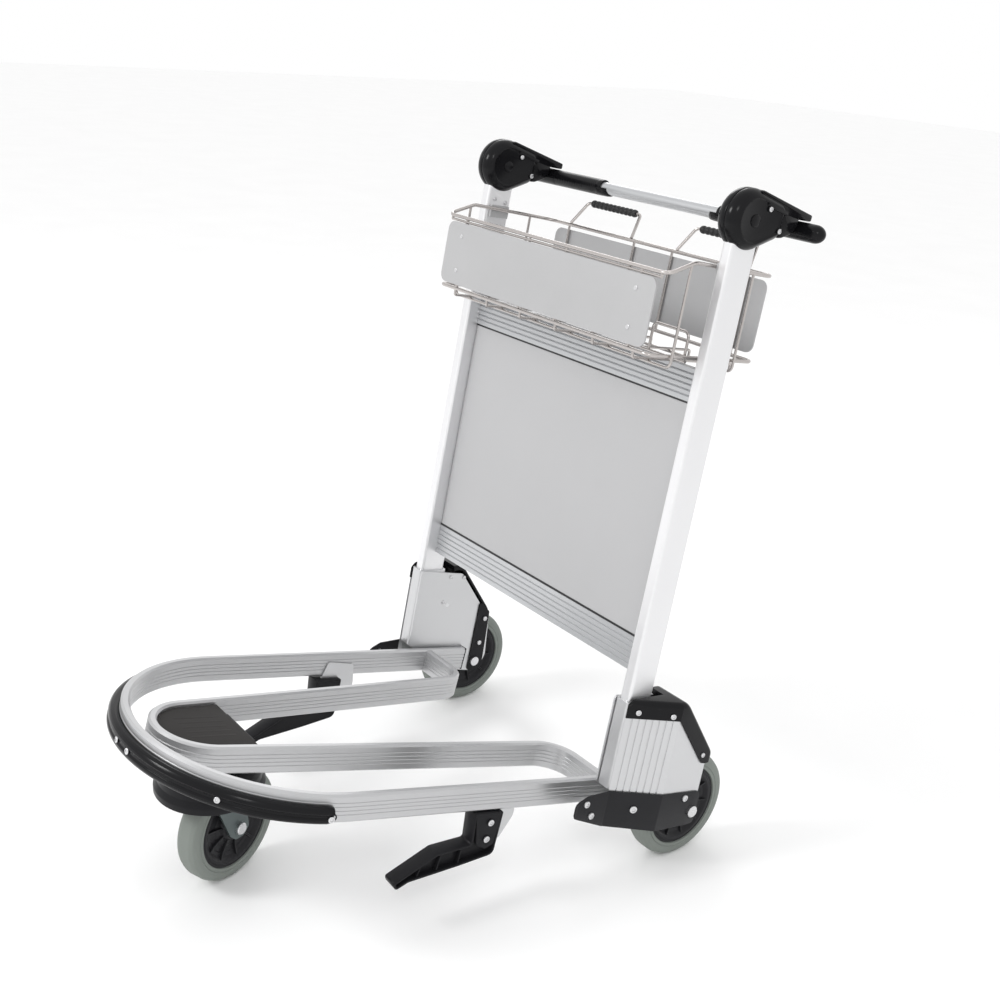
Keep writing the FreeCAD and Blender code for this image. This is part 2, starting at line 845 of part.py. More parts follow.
def make_inner_strip():
    """Black strip on the inner plate, from the strap's end down to the axle."""
    axle = axle_local()
    x = inner_plate_x()
    outline = [(axle.y - 12, axle.z - 23), (axle.y - 10, 236), (pod_slant_end + 5, 214)]
    outline += [(axle.y + 20, 150), (axle.y + 22, axle.z - 16)]
    return rounded_outline(outline, [8, 4, 6, 10, 14], x - 2.5, x)


def make_bracket():
    """Folded black bracket from the rail round the pod to the axle."""
    t = bracket_wall
    end = pod_rear + 4
    lead_x = sleeve_x_outer() - 1.5
    front, fold, rear = pod_plan(t)
    outer = [(lead_x + t, -bracket_lead), front, fold, (rear[0], end)]
    front, fold, rear = pod_plan(0)
    inside = [(rear[0], end), fold, front, (lead_x, -bracket_lead)]
    wall = prism_z(outer + inside, bracket_low - 30, bracket_high)
    axle = axle_local()
    side = [(-bracket_lead - 1, bracket_high - 14), (-bracket_lead + 22, bracket_high - 2)]
    side += [(-4, bracket_high), (pod_fold, bracket_high - 3)]
    side += [(pod_rear + 10, bracket_high - 11), (axle.y + 24, axle.z), (axle.y + 8, axle.z - 24)]
    side += [(axle.y - 10, axle.z - 24), (pod_fold, bracket_low - 8), (-6, bracket_low - 2)]
    side.append((-bracket_lead - 1, bracket_low + 22))
    trim = prism_x(side, 200, 400)
    return wall.common(trim)




def place_on_pod(back, up, kind, offset):
    """A point and outward direction on the pod's outer surface."""
    front, fold, rear = pod_plan(offset)
    if kind == "side":
        return V(fold[0], back, up), V(1, 0, 0)
    if kind == "lead":
        lead = sleeve_x_outer() - 1.5 + offset
        run = front[1] + bracket_lead
        rise = front[0] - lead
        x = lead + rise * (back + bracket_lead) / run
        return V(x, back, up), V(run, -rise, 0).normalize()
    run = fold[1] - front[1]
    rise = fold[0] - front[0]
    x = front[0] + rise * (back - front[1]) / run
    return V(x, back, up), V(run, -rise, 0).normalize()


def make_pod_side(shell, cover, plate, strip, bracket):
    """Drill the pod's pieces and make its screws."""
    screws = []
    for (back, up), kind in pod_screw_places:
        at, out = place_on_pod(back, up, kind, pod_wall)
        cover = cover.cut(hole(at, out, 1.9, 12))
        shell = shell.cut(hole(at, out, 1.9, 12))
        screws.append(screw(at, out, 4.0, 1.8, 1.8, 5.5))
    for (back, up), kind in bracket_screw_places:
        at, out = place_on_pod(back, up, kind, bracket_wall)
        bracket = bracket.cut(hole(at, out, 2.4, 12))
        shell = shell.cut(hole(at, out, 2.4, 12))
        screws.append(screw(at, out, 5.5, 2.6, 2.3, 5.5))
    x = inner_plate_x()
    for back, up in ((66, 290), (pod_slant_top + 4, 288), (58, 240)):
        plate = plate.cut(hole(V(x, back, up), V(-1, 0, 0), 1.9, 8))
        screws.append(screw(V(x, back, up), V(-1, 0, 0), 3.8, 1.6, 1.8, 2.8))
    for back, up in ((164, 200), (161, 150)):
        at = V(x - 2.5, back, up)
        plate = plate.cut(hole(at, V(-1, 0, 0), 2.4, 8))
        strip = strip.cut(hole(at, V(-1, 0, 0), 2.4, 8))
        screws.append(screw(at, V(-1, 0, 0), 4.6, 2.2, 2.3, 5.3))
    return shell, cover, plate, strip, bracket, screws


def make_pods():
    parts = make_pod_side(make_pod_shell(), make_pod_cover(), make_inner_plate(),
                          make_inner_strip(), make_bracket())
    shell, cover, plate, strip, bracket, screws = parts
    axle = axle_local()
    bore = cyl_x(200, 400, axle.y, axle.z, axle_radius + 0.05)
    pin = cyl_x(200, 330, shoe_pivot_back, shoe_pivot_up, pin_radius + 0.02)
    add_twins("pod_shells", to_upright(shell.cut(bore)))
    add_twins("pod_covers", to_upright(cover))
    add_twins("pod_inner_plates", to_upright(plate.cut(bore).cut(pin)))
    add_twins("pod_inner_strips", to_upright(strip.cut(bore)))
    add_twins("pod_brackets", to_upright(bracket.cut(bore)))
    keep_screws([to_upright(one) for one in screws])


def make_axles():
    """Axle bolt through both pod walls, and the spacers that centre the wheel."""
    inner = inner_plate_x() - 2.5
    outer = pod_side_x + bracket_wall
    half = wheel_width / 2
    head = cyl_x(outer, outer + 5, 0, wheel_radius, 10)
    head = head.makeChamfer(1.4, [head.Edges[0]])
    nut = cyl_x(inner - 5, inner, 0, wheel_radius, 9)
    shaft = cyl_x(inner, outer, 0, wheel_radius, axle_radius)
    add_twins("rear_axles", fuse([head, shaft, nut]))
    left = (inner_plate_x() + pod_wall, wheel_centre_x - half - 0.3)
    right = (wheel_centre_x + half + 0.3, pod_side_x - pod_wall)
    spacers = [ring_x(a, b, 0, wheel_radius, 10, axle_radius + 0.02) for a, b in (left, right)]
    add("rear_axle_spacers", both_sides(spacers))


# ---- brake shoes ----
def make_shoes():
    """Brake lever on its pin, reaching into the upright, with a curved shoe at the tyre."""
    pivot = upright_point(0, shoe_pivot_back, shoe_pivot_up)
    boss_end = wheel_centre_x + 6
    boss = cyl_x(lever_x, boss_end, shoe_pivot_back, shoe_pivot_up, 9)
    reach = pivot_back - rod_reach
    arm = box(lever_x, lever_x + tongue_thickness, reach - 5, shoe_pivot_back,
              shoe_pivot_up - 5, shoe_pivot_up + 5)
    pin = cyl_x(lever_x + tongue_thickness, lever_x + 10, reach, shoe_pivot_up, link_pin)
    lever = to_upright(fuse([boss, arm, pin]))
    angle = math.radians(128.0)
    contact = V(0, math.cos(angle), math.sin(angle))
    near = wheel_radius + shoe_gap
    half = 12.0
    x0 = wheel_centre_x - 14
    x1 = wheel_centre_x + 14
    ring = ring_x(x0, x1, 0, wheel_radius, near + shoe_thickness, near)
    spread = math.radians(half)
    far = near + 60
    wedge = [(0, wheel_radius)]
    for turn in (angle - spread, angle + spread):
        wedge.append((far * math.cos(turn), wheel_radius + far * math.sin(turn)))
    pad = ring.common(prism_x(wedge, x0, x1))
    root = contact * (near + shoe_thickness * 0.5) + V(0, 0, wheel_radius)
    side = V(0, -contact.z, contact.y) * 6
    web = [(pivot.y - 5, pivot.z), (pivot.y + 5, pivot.z)]
    web += [(root.y - side.y, root.z - side.z), (root.y + side.y, root.z + side.z)]
    stem = prism_x(web, wheel_centre_x - 4, wheel_centre_x + 4)
    shoe = fuse([lever, stem, pad])
    bore = cyl_x(lever_x - 5, boss_end + 5, pivot.y, pivot.z, pin_radius + running_gap)
    shoe = shoe.cut(bore)
    add_pair("brake_shoe", shoe)
    plate = inner_plate_x()
    shaft = cyl_x(plate, boss_end + 1, pivot.y, pivot.z, pin_radius)
    end = cyl_x(boss_end + 0.4, boss_end + 4, pivot.y, pivot.z, 7)
    collar = cyl_x(plate + pod_wall, lever_x - 0.4, pivot.y, pivot.z, 7)
    collar = collar.cut(to_upright(box(200, 400, -10, upright_depth + sleeve_wall + 0.3, 0, 400)))
    add_twins("brake_shoe_pins", fuse([shaft, end, collar]))


def make_rods():
    """Pull rod inside the upright, with a slotted plate at each end."""
    y = pivot_back - rod_reach
    x0 = lever_x + tongue_thickness + 0.8
    x1 = x0 + 3.0
    middle = (x0 + x1) / 2
    parts = []
    for up, sign in ((shoe_pivot_up, 1), (pivot_up, -1)):
        plate = box(x0, x1, y - 5.5, y + 5.5, up - 7, up + 7)
        neck = box(x0, x1, y - 3, y + 3, min(up, up + sign * 16), max(up, up + sign * 16))
        slot = cyl_x(x0 - 1, x1 + 1, y, up, link_pin + link_clear)
        parts.append(fuse([plate, neck]).cut(slot))
    rod = Part.makeCylinder(rod_radius, pivot_up - shoe_pivot_up - 24,
                            V(middle, y, shoe_pivot_up + 12), Z_AXIS)
    add_pair("brake_rod", to_upright(fuse(parts + [rod])))


# ---- handle ----
def tail_slope():
    """Where the tail's straight top leaves the round head."""
    dy = tail_length
    dz = tail_end_height - pivot_up
    reach = math.hypot(dy, dz)
    angle = math.atan2(dz, dy) + math.acos(head_radius / reach)
    return angle


def housing_outline(inset):
    """Side view of the housing as a closed face in the upright's frame at x = 0."""
    r = head_radius - inset
    angle = tail_slope()
    start = V(0, pivot_back + r * math.cos(angle), pivot_up + r * math.sin(angle))
    tip = V(0, pivot_back + tail_length - inset, tail_end_height - inset)
    under = V(0, tip.y - 2, tip.z - 8 + inset)
    roof = V(0, mouth_back + 14, bar_up + grip_radius + saddle_gap + inset * 2)
    step_top = V(0, mouth_back - inset, bar_up + 7)
    step = V(0, mouth_back - inset, mouth_low + inset)
    dy = mouth_back - pivot_back
    dz = mouth_low - pivot_up
    reach = math.hypot(dy, dz)
    low_angle = math.atan2(dz, dy) - math.acos(head_radius / reach)
    end = V(0, pivot_back + r * math.cos(low_angle), pivot_up + r * math.sin(low_angle))
    front = V(0, pivot_back - r, pivot_up)
    corners = [start, tip, under, roof, step_top, step, end]
    edges = [Part.LineSegment(a, b).toShape() for a, b in zip(corners, corners[1:])]
    edges.append(Part.Arc(end, front, start).toShape())
    return Part.Face(Part.Wire(edges))


def make_housings():
    """Two hollow half shells round the upright's top and over the bar's end."""
    middle = upright_half_span - upright_thickness / 2
    half = housing_half_width
    solid = housing_outline(0).extrude(V(half, 0, 0))
    rim = [e for e in solid.Edges if abs(e.CenterOfMass.x - half) < 1e-6]
    solid = solid.makeFillet(housing_round, rim)
    cavity = housing_outline(housing_wall).extrude(V(half - housing_wall, 0, 0))
    mouth = box(-1, lever_thickness / 2 + 3.5, mouth_back - 12, mouth_back + 40,
                mouth_low + housing_wall, bar_up + grip_radius)
    shell = solid.cut(cavity).cut(mouth)
    boss = cyl_x(half - 5, half - 1, pivot_back, pivot_up, 9)
    shell = fuse([shell, boss])
    shell = shell.cut(cyl_x(-1, half - 1.5, pivot_back, pivot_up, pin_radius + 0.02))
    entry = box(-1, upright_thickness / 2 + 0.1, -0.1, upright_depth + 0.1, 900, upright_top + 1)
    shell = shell.cut(entry)
    screws = []
    for back, up in ((48, 1062), (76, 1034)):
        at = V(half, back, up)
        shell = shell.cut(hole(at, X_AXIS, 2.1, 4))
        screws.append(screw(at, X_AXIS, 3.8, 1.4, 2.0, 2.5))
    outer = shell.copy()
    outer.translate(V(middle, 0, 0))
    inner = mirrored(shell)
    inner.translate(V(middle, 0, 0))
    add_twins("housing_outer_shells", to_upright(outer))
    add_twins("housing_inner_shells", to_upright(inner))
    moved = []
    for s in screws:
        one = s.copy()
        one.translate(V(middle, 0, 0))
        other = mirrored(s)
        other.translate(V(middle, 0, 0))
        moved += [one, other]
    add("housing_screws", to_upright(both_sides(moved)))
    pin = cyl_x(middle - half + 1.6, middle + half - 1.6, pivot_back, pivot_up, pin_radius)
    add_twins("handle_pivot_pins", to_upright(pin))


def make_grips():
    """Moulded grip on the bar, with the lever that pivots in the housing."""
    x0 = lever_x + 2.5
    x1 = x0 + lever_thickness
    axis_y = bar_back
    body = cyl_x(grip_inner_x, grip_outer_x - grip_radius, axis_y, bar_up, grip_radius)
    dome = Part.makeSphere(grip_radius, V(grip_outer_x - grip_radius, axis_y, bar_up))
    lever = prism_x([(pivot_back, pivot_up + 6), (pivot_back, pivot_up - 6),
                     (bar_back, bar_up - 5), (bar_back, bar_up + 5)], x0, x1)
    boss = cyl_x(x0, x1, pivot_back, pivot_up, 9)
    reach = pivot_back - rod_reach
    tongue = box(lever_x, x0 + 2.0, reach - 5, pivot_back, pivot_up - 5, pivot_up + 5)
    rod_room = box(lever_x + tongue_thickness, x1 + 1, reach - 12, reach + 8.5,
                   pivot_up - 20, pivot_up + 20)
    link = cyl_x(lever_x + tongue_thickness, lever_x + 10, reach, pivot_up, link_pin)
    grip = fuse([body, dome, lever, boss, tongue]).cut(rod_room)
    grip = fuse([grip, link])
    grip = grip.cut(cyl_x(0, bar_end_x(), axis_y, bar_up, bar_radius))
    grip = grip.cut(cyl_x(200, 330, pivot_back, pivot_up, pin_radius + running_gap))
    add_pair("handle_grip", to_upright(grip))
    tube = ring_x(-bar_end_x(), bar_end_x(), axis_y, bar_up, bar_radius, bar_radius - 1.8)
    add("handle_bar", to_upright(tube))


def make_return_springs():
    """Torsion springs round the pivot pins, beside the levers."""
    start = lever_x + 2.5 + lever_thickness + 0.6
    wire = 0.9
    coils = []
    for i in range(3):
        x = start + wire + i * (2 * wire + 0.15)
        coils.append(Part.makeTorus(6.2, wire, V(x, pivot_back, pivot_up), X_AXIS))
    add("return_springs", to_upright(both_sides(coils)))


def bar_end_x():
    """Where the bar's tube stops inside the grips."""
    return grip_outer_x - 2 * grip_radius


# ---- basket ----
def weld_gap():
    """Distance between the axes of a rim wire and a fine wire laid against it."""
    return rim_wire + fine_wire + 0.1


def make_basket_frame():
    """Rim, lower ring, hangers and posts of the basket, as one welded wire frame."""
    w = basket_half
    rim_points = [
        V(w, basket_front, basket_front_rim), V(w, basket_knee, basket_knee_rim),
        V(w, basket_rear, basket_rim), V(-w, basket_rear, basket_rim),
        V(-w, basket_knee, basket_knee_rim), V(-w, basket_front, basket_front_rim),
    ]
    rim = bent_rod(rim_points, [14, 30, 22, 22, 30, 14], rim_wire, closed=True)
    front = basket_front + 2
    inner = w - weld_gap()
    ring_points = [V(inner, front, basket_ring), V(inner, basket_rear, basket_ring)]
    ring_points += [V(-inner, basket_rear, basket_ring), V(-inner, front, basket_ring)]
    ring = bent_rod(ring_points, [14, 14, 14, 14], rim_wire, closed=True)
    wires = [rim, ring]
    for y in (hanger_front, hanger_rear):
        low = basket_floor - 2 * fine_wire - 0.1
        top = basket_rim + 3
        points = [V(w, y, top), V(w, y, low), V(-w, y, low), V(-w, y, top)]
        wires.append(bent_rod(points, [0, 9, 9, 0], fine_wire))
    for x in (-212, -45, 45, 212):
        wires.append(cylinder(V(x, front, basket_ring), V(x, basket_front, basket_front_rim), fine_wire))
        wires.append(cylinder(V(x, basket_rear, basket_ring), V(x, basket_rear, basket_rim), fine_wire))
    for x in (-inner, inner):
        for y in (hanger_front, hanger_rear):
            side = math.copysign(w, x)
            wires.append(cylinder(V(x, y, basket_ring), V(side, y, basket_ring), fine_wire))
    second = basket_front_rim - rim_wire - fine_wire - 1.3
    wires.append(cylinder(V(-w + 12, basket_front, second), V(w - 12, basket_front, second), fine_wire))
    for x in (-w + 12, w - 12):
        wires.append(cylinder(V(x, basket_front, second), V(x, basket_front, basket_front_rim), fine_wire))
    add("basket_frame", to_upright(fuse(wires)))


def make_basket_floor():
    """Serpentine floor wire: runs hooked up at the front ring and turned down at the rear."""
    runs = 6
    z = basket_floor
    near = basket_front + 2 + weld_gap()
    far = basket_rear - 4
    points = []
    radii = []
    for i in range(runs):
        x = floor_pitch * (i - (runs - 1) / 2)
        hook = [V(x, near, basket_ring), V(x, near, z)]
        tail = [V(x, far, z), V(x, far, z - floor_drop)]
        run = hook + tail if i % 2 else tail[::-1] + hook[::-1]
        points += run
        radii += [3.0] * 4
    radii[0] = 0
    radii[-1] = 0
    floor = bent_rod(points, radii, fine_wire)
    add("basket_floor_wire", to_upright(floor))


def make_basket_guards():
    """Small upright loops inside the basket, near its sides."""
    base = basket_floor + fine_wire * 2 + 0.1
    points = [V(176, 0, base), V(176, 0, 871), V(250, 0, 871), V(250, 0, base)]
    loop = bent_rod(points, [0, 9, 9, 0], fine_wire)
    foot = cylinder(V(132, 0, base), V(basket_half - 10, 0, base), fine_wire)
    add("basket_guards", to_upright(both_sides([fuse([loop, foot])])))


def rounded_plate(half, low, high, corner, y0, y1):
    """Upright sheet with rounded corners."""
    outline = [V(-half, y0, low), V(half, y0, low), V(half, y0, high), V(-half, y0, high)]
    return Part.Face(path(outline, [corner] * 4, closed=True)).extrude(V(0, y1 - y0, 0))


def make_basket_plates():
    rivets = []
    front_face = basket_front - rim_wire - plate_thickness - 0.2
    front = rounded_plate(plate_half, plate_low, plate_high, plate_corner,
                          front_face, front_face + plate_thickness)
    rear_face = basket_rear + rim_wire + 0.2
    back = rounded_plate(back_plate_half, plate_low + 3, back_plate_high, plate_corner,
                         rear_face, rear_face + plate_thickness)
    for x in (-212, 212):
        for z in (866, 922):
            at = V(x, front_face, z)
            front = front.cut(hole(at, V(0, -1, 0), 1.9, 6))
            rivets.append(screw(at, V(0, -1, 0), 3.6, 1.2, 1.8, plate_thickness + 0.1))
            at = V(x, rear_face + plate_thickness, z)
            back = back.cut(hole(at, V(0, 1, 0), 1.9, 6))
            rivets.append(screw(at, V(0, 1, 0), 3.6, 1.2, 1.8, plate_thickness + 0.1))
    add("basket_front_plate", to_upright(front))
    add("basket_back_plate", to_upright(back))
    add("basket_rivets", to_upright(group(rivets)))


def make_basket_brackets():
    """Plates on the uprights' inner faces that carry the rim and the lower rim."""
    inner = upright_half_span - upright_thickness
    reach = basket_half + rim_wire
    parts = []
    parts.append(box(reach, inner, 6, upright_depth - 6, 956, 976))
    parts.append(box(reach - 3, inner, rail_recess, rail_recess + cross_rail_depth,
                     top_rail_high, basket_ring + 6))
    add("basket_brackets", to_upright(both_sides(parts)))


def beaded_grip(start, end, y, z):
    """Sleeve with a row of beads, turned about the loop's top wire."""
    beads = 11
    bore = loop_wire + 0.03
    waist = loop_grip * 0.72
    pitch = (end - start) / beads
    edges = [line(V(start, y + bore, z), V(start, y + waist, z))]
    for i in range(beads):
        a = V(start + pitch * i, y + waist, z)
        b = V(start + pitch * (i + 0.5), y + loop_grip, z)
        c = V(start + pitch * (i + 1), y + waist, z)
        edges.append(Part.Arc(a, b, c).toShape())
    edges.append(line(c, V(c.x, y + bore, z)))
    edges.append(line(V(c.x, y + bore, z), V(start, y + bore, z)))
    return Part.Face(Part.Wire(edges)).revolve(V(start, y, z), X_AXIS, 360)


def line(a, b):
    return Part.LineSegment(a, b).toShape()


def make_loops():
    """Two carry loops standing on the rear rim, with beaded grips."""
    y = basket_rear
    z = basket_rim + rim_wire
    top = loop_top
    loops = []
    grips = []
    for sign in (-1, 1):
        foot = [V(sign * loop_inner, y, z), V(sign * loop_outer, y, z)]
        head = [V(sign * (loop_inner + 12), y + loop_lean, top)]
        head.append(V(sign * (loop_outer - 12), y + loop_lean, top))
        loops.append(bent_rod([foot[0], head[0], head[1], foot[1]], [0, 8, 8, 0], loop_wire))
        start = min(head[0].x, head[1].x) + 10
        end = max(head[0].x, head[1].x) - 10
        grips.append(beaded_grip(start, end, y + loop_lean, top))
    add("carry_loops", to_upright(group(loops)))
    add("carry_loop_grips", to_upright(group(grips)))


# ---- escalator feet ----
def make_feet():
    """Ribbed foot under each outer rail, on a plate fixed to the rail's inner face."""
    tilt_cos = math.cos(math.radians(platform_tilt))
    world_taper = outer_rail_taper / tilt_cos
    rail_mid = outer_rail_half + world_taper * foot_y
    plate_out = rail_mid - rail_thickness / 2 / math.cos(math.atan(outer_rail_taper))
    plate_in = plate_out - foot_plate
    top = platform_top_at(foot_y) - rail_height / math.cos(math.radians(platform_tilt))
    slope = math.tan(math.radians(platform_tilt))
    front = foot_y - 26
    rear = foot_y + 26
    outline = [(rear, top - slope * 26 - 2), (rear - 14, 78), (front - 27, 77), (front - 112, 78)]
    outline += [(front - 133, 71), (front - 137, 84), (front - 63, 112), (front - 4, 109)]
    outline += [(front, top + slope * 26 - 2)]
    middle = rail_mid - 5.0
    bends = [2, 12, 20, 12, 5, 4, 14, 3, 2]
    foot = rounded_outline(outline, bends, middle - foot_width / 2, middle + foot_width / 2)
    inside = [(rear - 26, 86), (front - 27, 85), (front - 112, 85), (front - 66, 104), (rear - 26, 101)]
    pocket = prism_x(inside, middle + 2, middle + foot_width / 2 + 1)
    foot = foot.cut(pocket)
    slot = box(plate_in - 0.1, plate_out + 0.1, front - 2, rear + 30, 90, top + 30)
    foot = foot.cut(slot)
    plate_outline = [(front + 8, top - 12), (front + 30, top + 27), (rear + 30, top + 10)]
    plate_outline += [(rear + 30, top - 30), (rear + 4, 92), (front + 20, 92)]
    plate = rounded_outline(plate_outline, [4, 6, 6, 24, 10, 4], plate_in, plate_out)
    lean = math.degrees(math.atan(world_taper))
    outer_face = middle + foot_width / 2
    screws = []
    for y, z in ((foot_y + 2, 138), (foot_y - 4, 111)):
        at = V(outer_face, y, z)
        for_plate = hole(at, X_AXIS, 2.6, foot_width)
        foot = foot.cut(for_plate)
        plate = plate.cut(for_plate)
        screws.append(screw(at, X_AXIS, 5.0, 2.4, 2.5, 18))
    pivot = V(plate_out, foot_y, 0)
    turned_parts = []
    for shape in (plate, foot, group(screws)):
        moved = shape.copy()
        moved.rotate(pivot, Z_AXIS, -lean)
        turned_parts.append(moved)
    plate, foot, fasteners = turned_parts
    add_twins("foot_brackets", plate)
    add_twins("escalator_feet", foot)
    keep_screws(fasteners.Solids)


# ---- build ----
def build():
    make_rails()
    make_bumper()
    make_nose()
    make_bowl()
    make_rear_wheels()
    make_wheel("front_wheel", caster_centre(), caster_axis())
    make_fork()
    make_kingpin()
    make_uprights()
    make_panel()
    make_upright_screws()
    make_pods()
    make_axles()
    make_shoes()
    make_rods()
    make_housings()
    make_grips()
    make_return_springs()
    make_basket_frame()
    make_basket_floor()
    make_basket_guards()
    make_basket_plates()
    make_basket_brackets()
    make_loops()
    make_feet()
    add("frame_screws", group(frame_screws))


def write():
    """Centre the model over its box and write one file per node."""
    os.makedirs("parts", exist_ok=True)
    whole = Part.makeCompound(list(nodes.values())).optimalBoundingBox(True, False)
    shift = V(-(whole.XMin + whole.XMax) / 2, -(whole.YMin + whole.YMax) / 2, -whole.ZMin)
    for name, shape in nodes.items():
        moved = shape.copy()
        moved.translate(shift)
        moved.exportStep("parts/" + name + ".step")
    print("nodes", len(nodes), "box", whole.XLength, whole.YLength, whole.ZLength)
    print("shift", shift.x, shift.y, shift.z)


build()
write()
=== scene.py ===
"""Looks of the airport luggage trolley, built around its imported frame.

Lengths in the piece functions are millimetres in the CAD's own local frames; mm() turns them
into the frame's metres. X is lateral, -Y is forward, +Z is up.
"""

import json
import math

import bmesh
import bpy
import numpy as np
from mathutils import Matrix, Vector


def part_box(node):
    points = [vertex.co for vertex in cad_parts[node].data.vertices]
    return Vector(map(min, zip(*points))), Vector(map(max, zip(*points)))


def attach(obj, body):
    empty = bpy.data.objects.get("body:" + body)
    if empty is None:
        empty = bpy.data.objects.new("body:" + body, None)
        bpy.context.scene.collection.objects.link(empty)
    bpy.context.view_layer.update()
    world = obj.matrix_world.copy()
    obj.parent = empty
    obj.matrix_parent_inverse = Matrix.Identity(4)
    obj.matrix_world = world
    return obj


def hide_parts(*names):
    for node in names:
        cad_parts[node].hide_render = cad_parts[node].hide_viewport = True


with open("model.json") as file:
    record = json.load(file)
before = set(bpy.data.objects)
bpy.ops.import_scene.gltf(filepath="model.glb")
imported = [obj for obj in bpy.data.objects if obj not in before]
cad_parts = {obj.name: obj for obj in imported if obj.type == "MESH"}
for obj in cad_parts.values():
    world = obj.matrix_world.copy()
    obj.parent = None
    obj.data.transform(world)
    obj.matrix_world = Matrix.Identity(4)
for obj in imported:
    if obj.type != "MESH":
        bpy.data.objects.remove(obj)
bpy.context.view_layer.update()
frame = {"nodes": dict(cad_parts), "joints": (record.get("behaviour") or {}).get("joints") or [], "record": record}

MM = 0.001
joints = {j["name"]: j for j in frame["joints"]}
handle_pivot = Vector(joints["handle_press"]["pos_m"])
up_axis = Vector(joints["left_rod_slide"]["axis"]).normalized()
back_axis = Vector((0, up_axis.z, -up_axis.y))
axle_y = joints["left_wheel_spin"]["pos_m"][1]
swivel = Vector(joints["caster_swivel"]["pos_m"])
front_axle = Vector(joints["front_wheel_spin"]["pos_m"])
front_axis = Vector(joints["front_wheel_spin"]["axis"]).normalized()

PIVOT_BACK = 25.0
PIVOT_UP = 1043.0
PLATFORM_TILT = math.radians(12.9)
PLATFORM_HEIGHT = 121.0


# ---------------------------------------------------------------- places
def mm(x, y, z):
    """A point of the trolley, millimetres from the rear axle line on the floor."""
    return Vector((x * MM, axle_y + y * MM, z * MM))


def on_upright(x, back, up):
    """A point in the upright's frame, with up along the upright."""
    at = handle_pivot + back_axis * ((back - PIVOT_BACK) * MM) + up_axis * ((up - PIVOT_UP) * MM)
    return Vector((x * MM, at.y, at.z))


def on_platform(x, y, z):
    """A point in the platform's frame, with z = 0 on top of the rails."""
    c, s = math.cos(PLATFORM_TILT), math.sin(PLATFORM_TILT)
    return mm(x, y * c + z * s, PLATFORM_HEIGHT + z * c - y * s)


# ---------------------------------------------------------------- materials
def new_material(name):
    mat = bpy.data.materials.new(name)
    mat.use_nodes = True
    tree = mat.node_tree
    return mat, tree, tree.nodes["Principled BSDF"]


def texture_space(tree, scale):
    """Object coordinates, stretched by scale."""
    coords = tree.nodes.new("ShaderNodeTexCoord")
    mapping = tree.nodes.new("ShaderNodeMapping")
    mapping.inputs["Scale"].default_value = scale
    tree.links.new(coords.outputs["Object"], mapping.inputs["Vector"])
    return mapping.outputs["Vector"]


def noise(tree, vector, scale, detail=3.0, rough=0.55):
    node = tree.nodes.new("ShaderNodeTexNoise")
    node.inputs["Scale"].default_value = scale
    node.inputs["Detail"].default_value = detail
    node.inputs["Roughness"].default_value = rough
    tree.links.new(vector, node.inputs["Vector"])
    return node.outputs["Fac"]


def ramp(tree, value, low, high, start=0.3, end=0.7):
    """Maps a 0-1 value to a colour between low and high."""
    node = tree.nodes.new("ShaderNodeValToRGB")
    node.color_ramp.elements[0].position = start
    node.color_ramp.elements[1].position = end
    node.color_ramp.elements[0].color = (*low, 1)
    node.color_ramp.elements[1].color = (*high, 1)
    tree.links.new(value, node.inputs["Fac"])
    return node.outputs["Color"]


def level(tree, value, low, high):
    """Maps a 0-1 value to a number between low and high."""
    node = tree.nodes.new("ShaderNodeMapRange")
    node.inputs["To Min"].default_value = low
    node.inputs["To Max"].default_value = high
    tree.links.new(value, node.inputs["Value"])
    return node.outputs["Result"]


def bump(tree, shader, heights, strength, distance):
    node = tree.nodes.new("ShaderNodeBump")
    node.inputs["Strength"].default_value = strength
    node.inputs["Distance"].default_value = distance
    tree.links.new(heights, node.inputs["Height"])
    tree.links.new(node.outputs["Normal"], shader.inputs["Normal"])


def shade(colour, factor):
    return tuple(min(1.0, c * factor) for c in colour)


def surface(name, colour, metallic, rough, spread=0.06, grain=60.0, grain_stretch=(1, 1, 1),
            bump_strength=0.15, bump_distance=0.0004, coat=0.0, wear=0.05, shine=0.5):
    """A surface with mottled colour, grain in its roughness and fine relief."""
    mat, tree, shader = new_material(name)
    even = texture_space(tree, (1, 1, 1))
    along = texture_space(tree, grain_stretch)
    cloud = noise(tree, even, 7.0, 4.0)
    fine = noise(tree, along, grain, 5.0)
    tint = ramp(tree, cloud, shade(colour, 1 - wear), shade(colour, 1 + wear))
    tree.links.new(tint, shader.inputs["Base Color"])
    tree.links.new(level(tree, fine, rough - spread, rough + spread), shader.inputs["Roughness"])
    shader.inputs["Metallic"].default_value = metallic
    shader.inputs["Specular IOR Level"].default_value = shine
    if coat:
        shader.inputs["Coat Weight"].default_value = coat
        shader.inputs["Coat Roughness"].default_value = 0.12
    bump(tree, shader, fine, bump_strength, bump_distance)
    return mat


ALONG_X, ALONG_Y, ALONG_Z, EVEN = (0.02, 1, 1), (1, 0.02, 1), (1, 1, 0.02), (1, 1, 1)


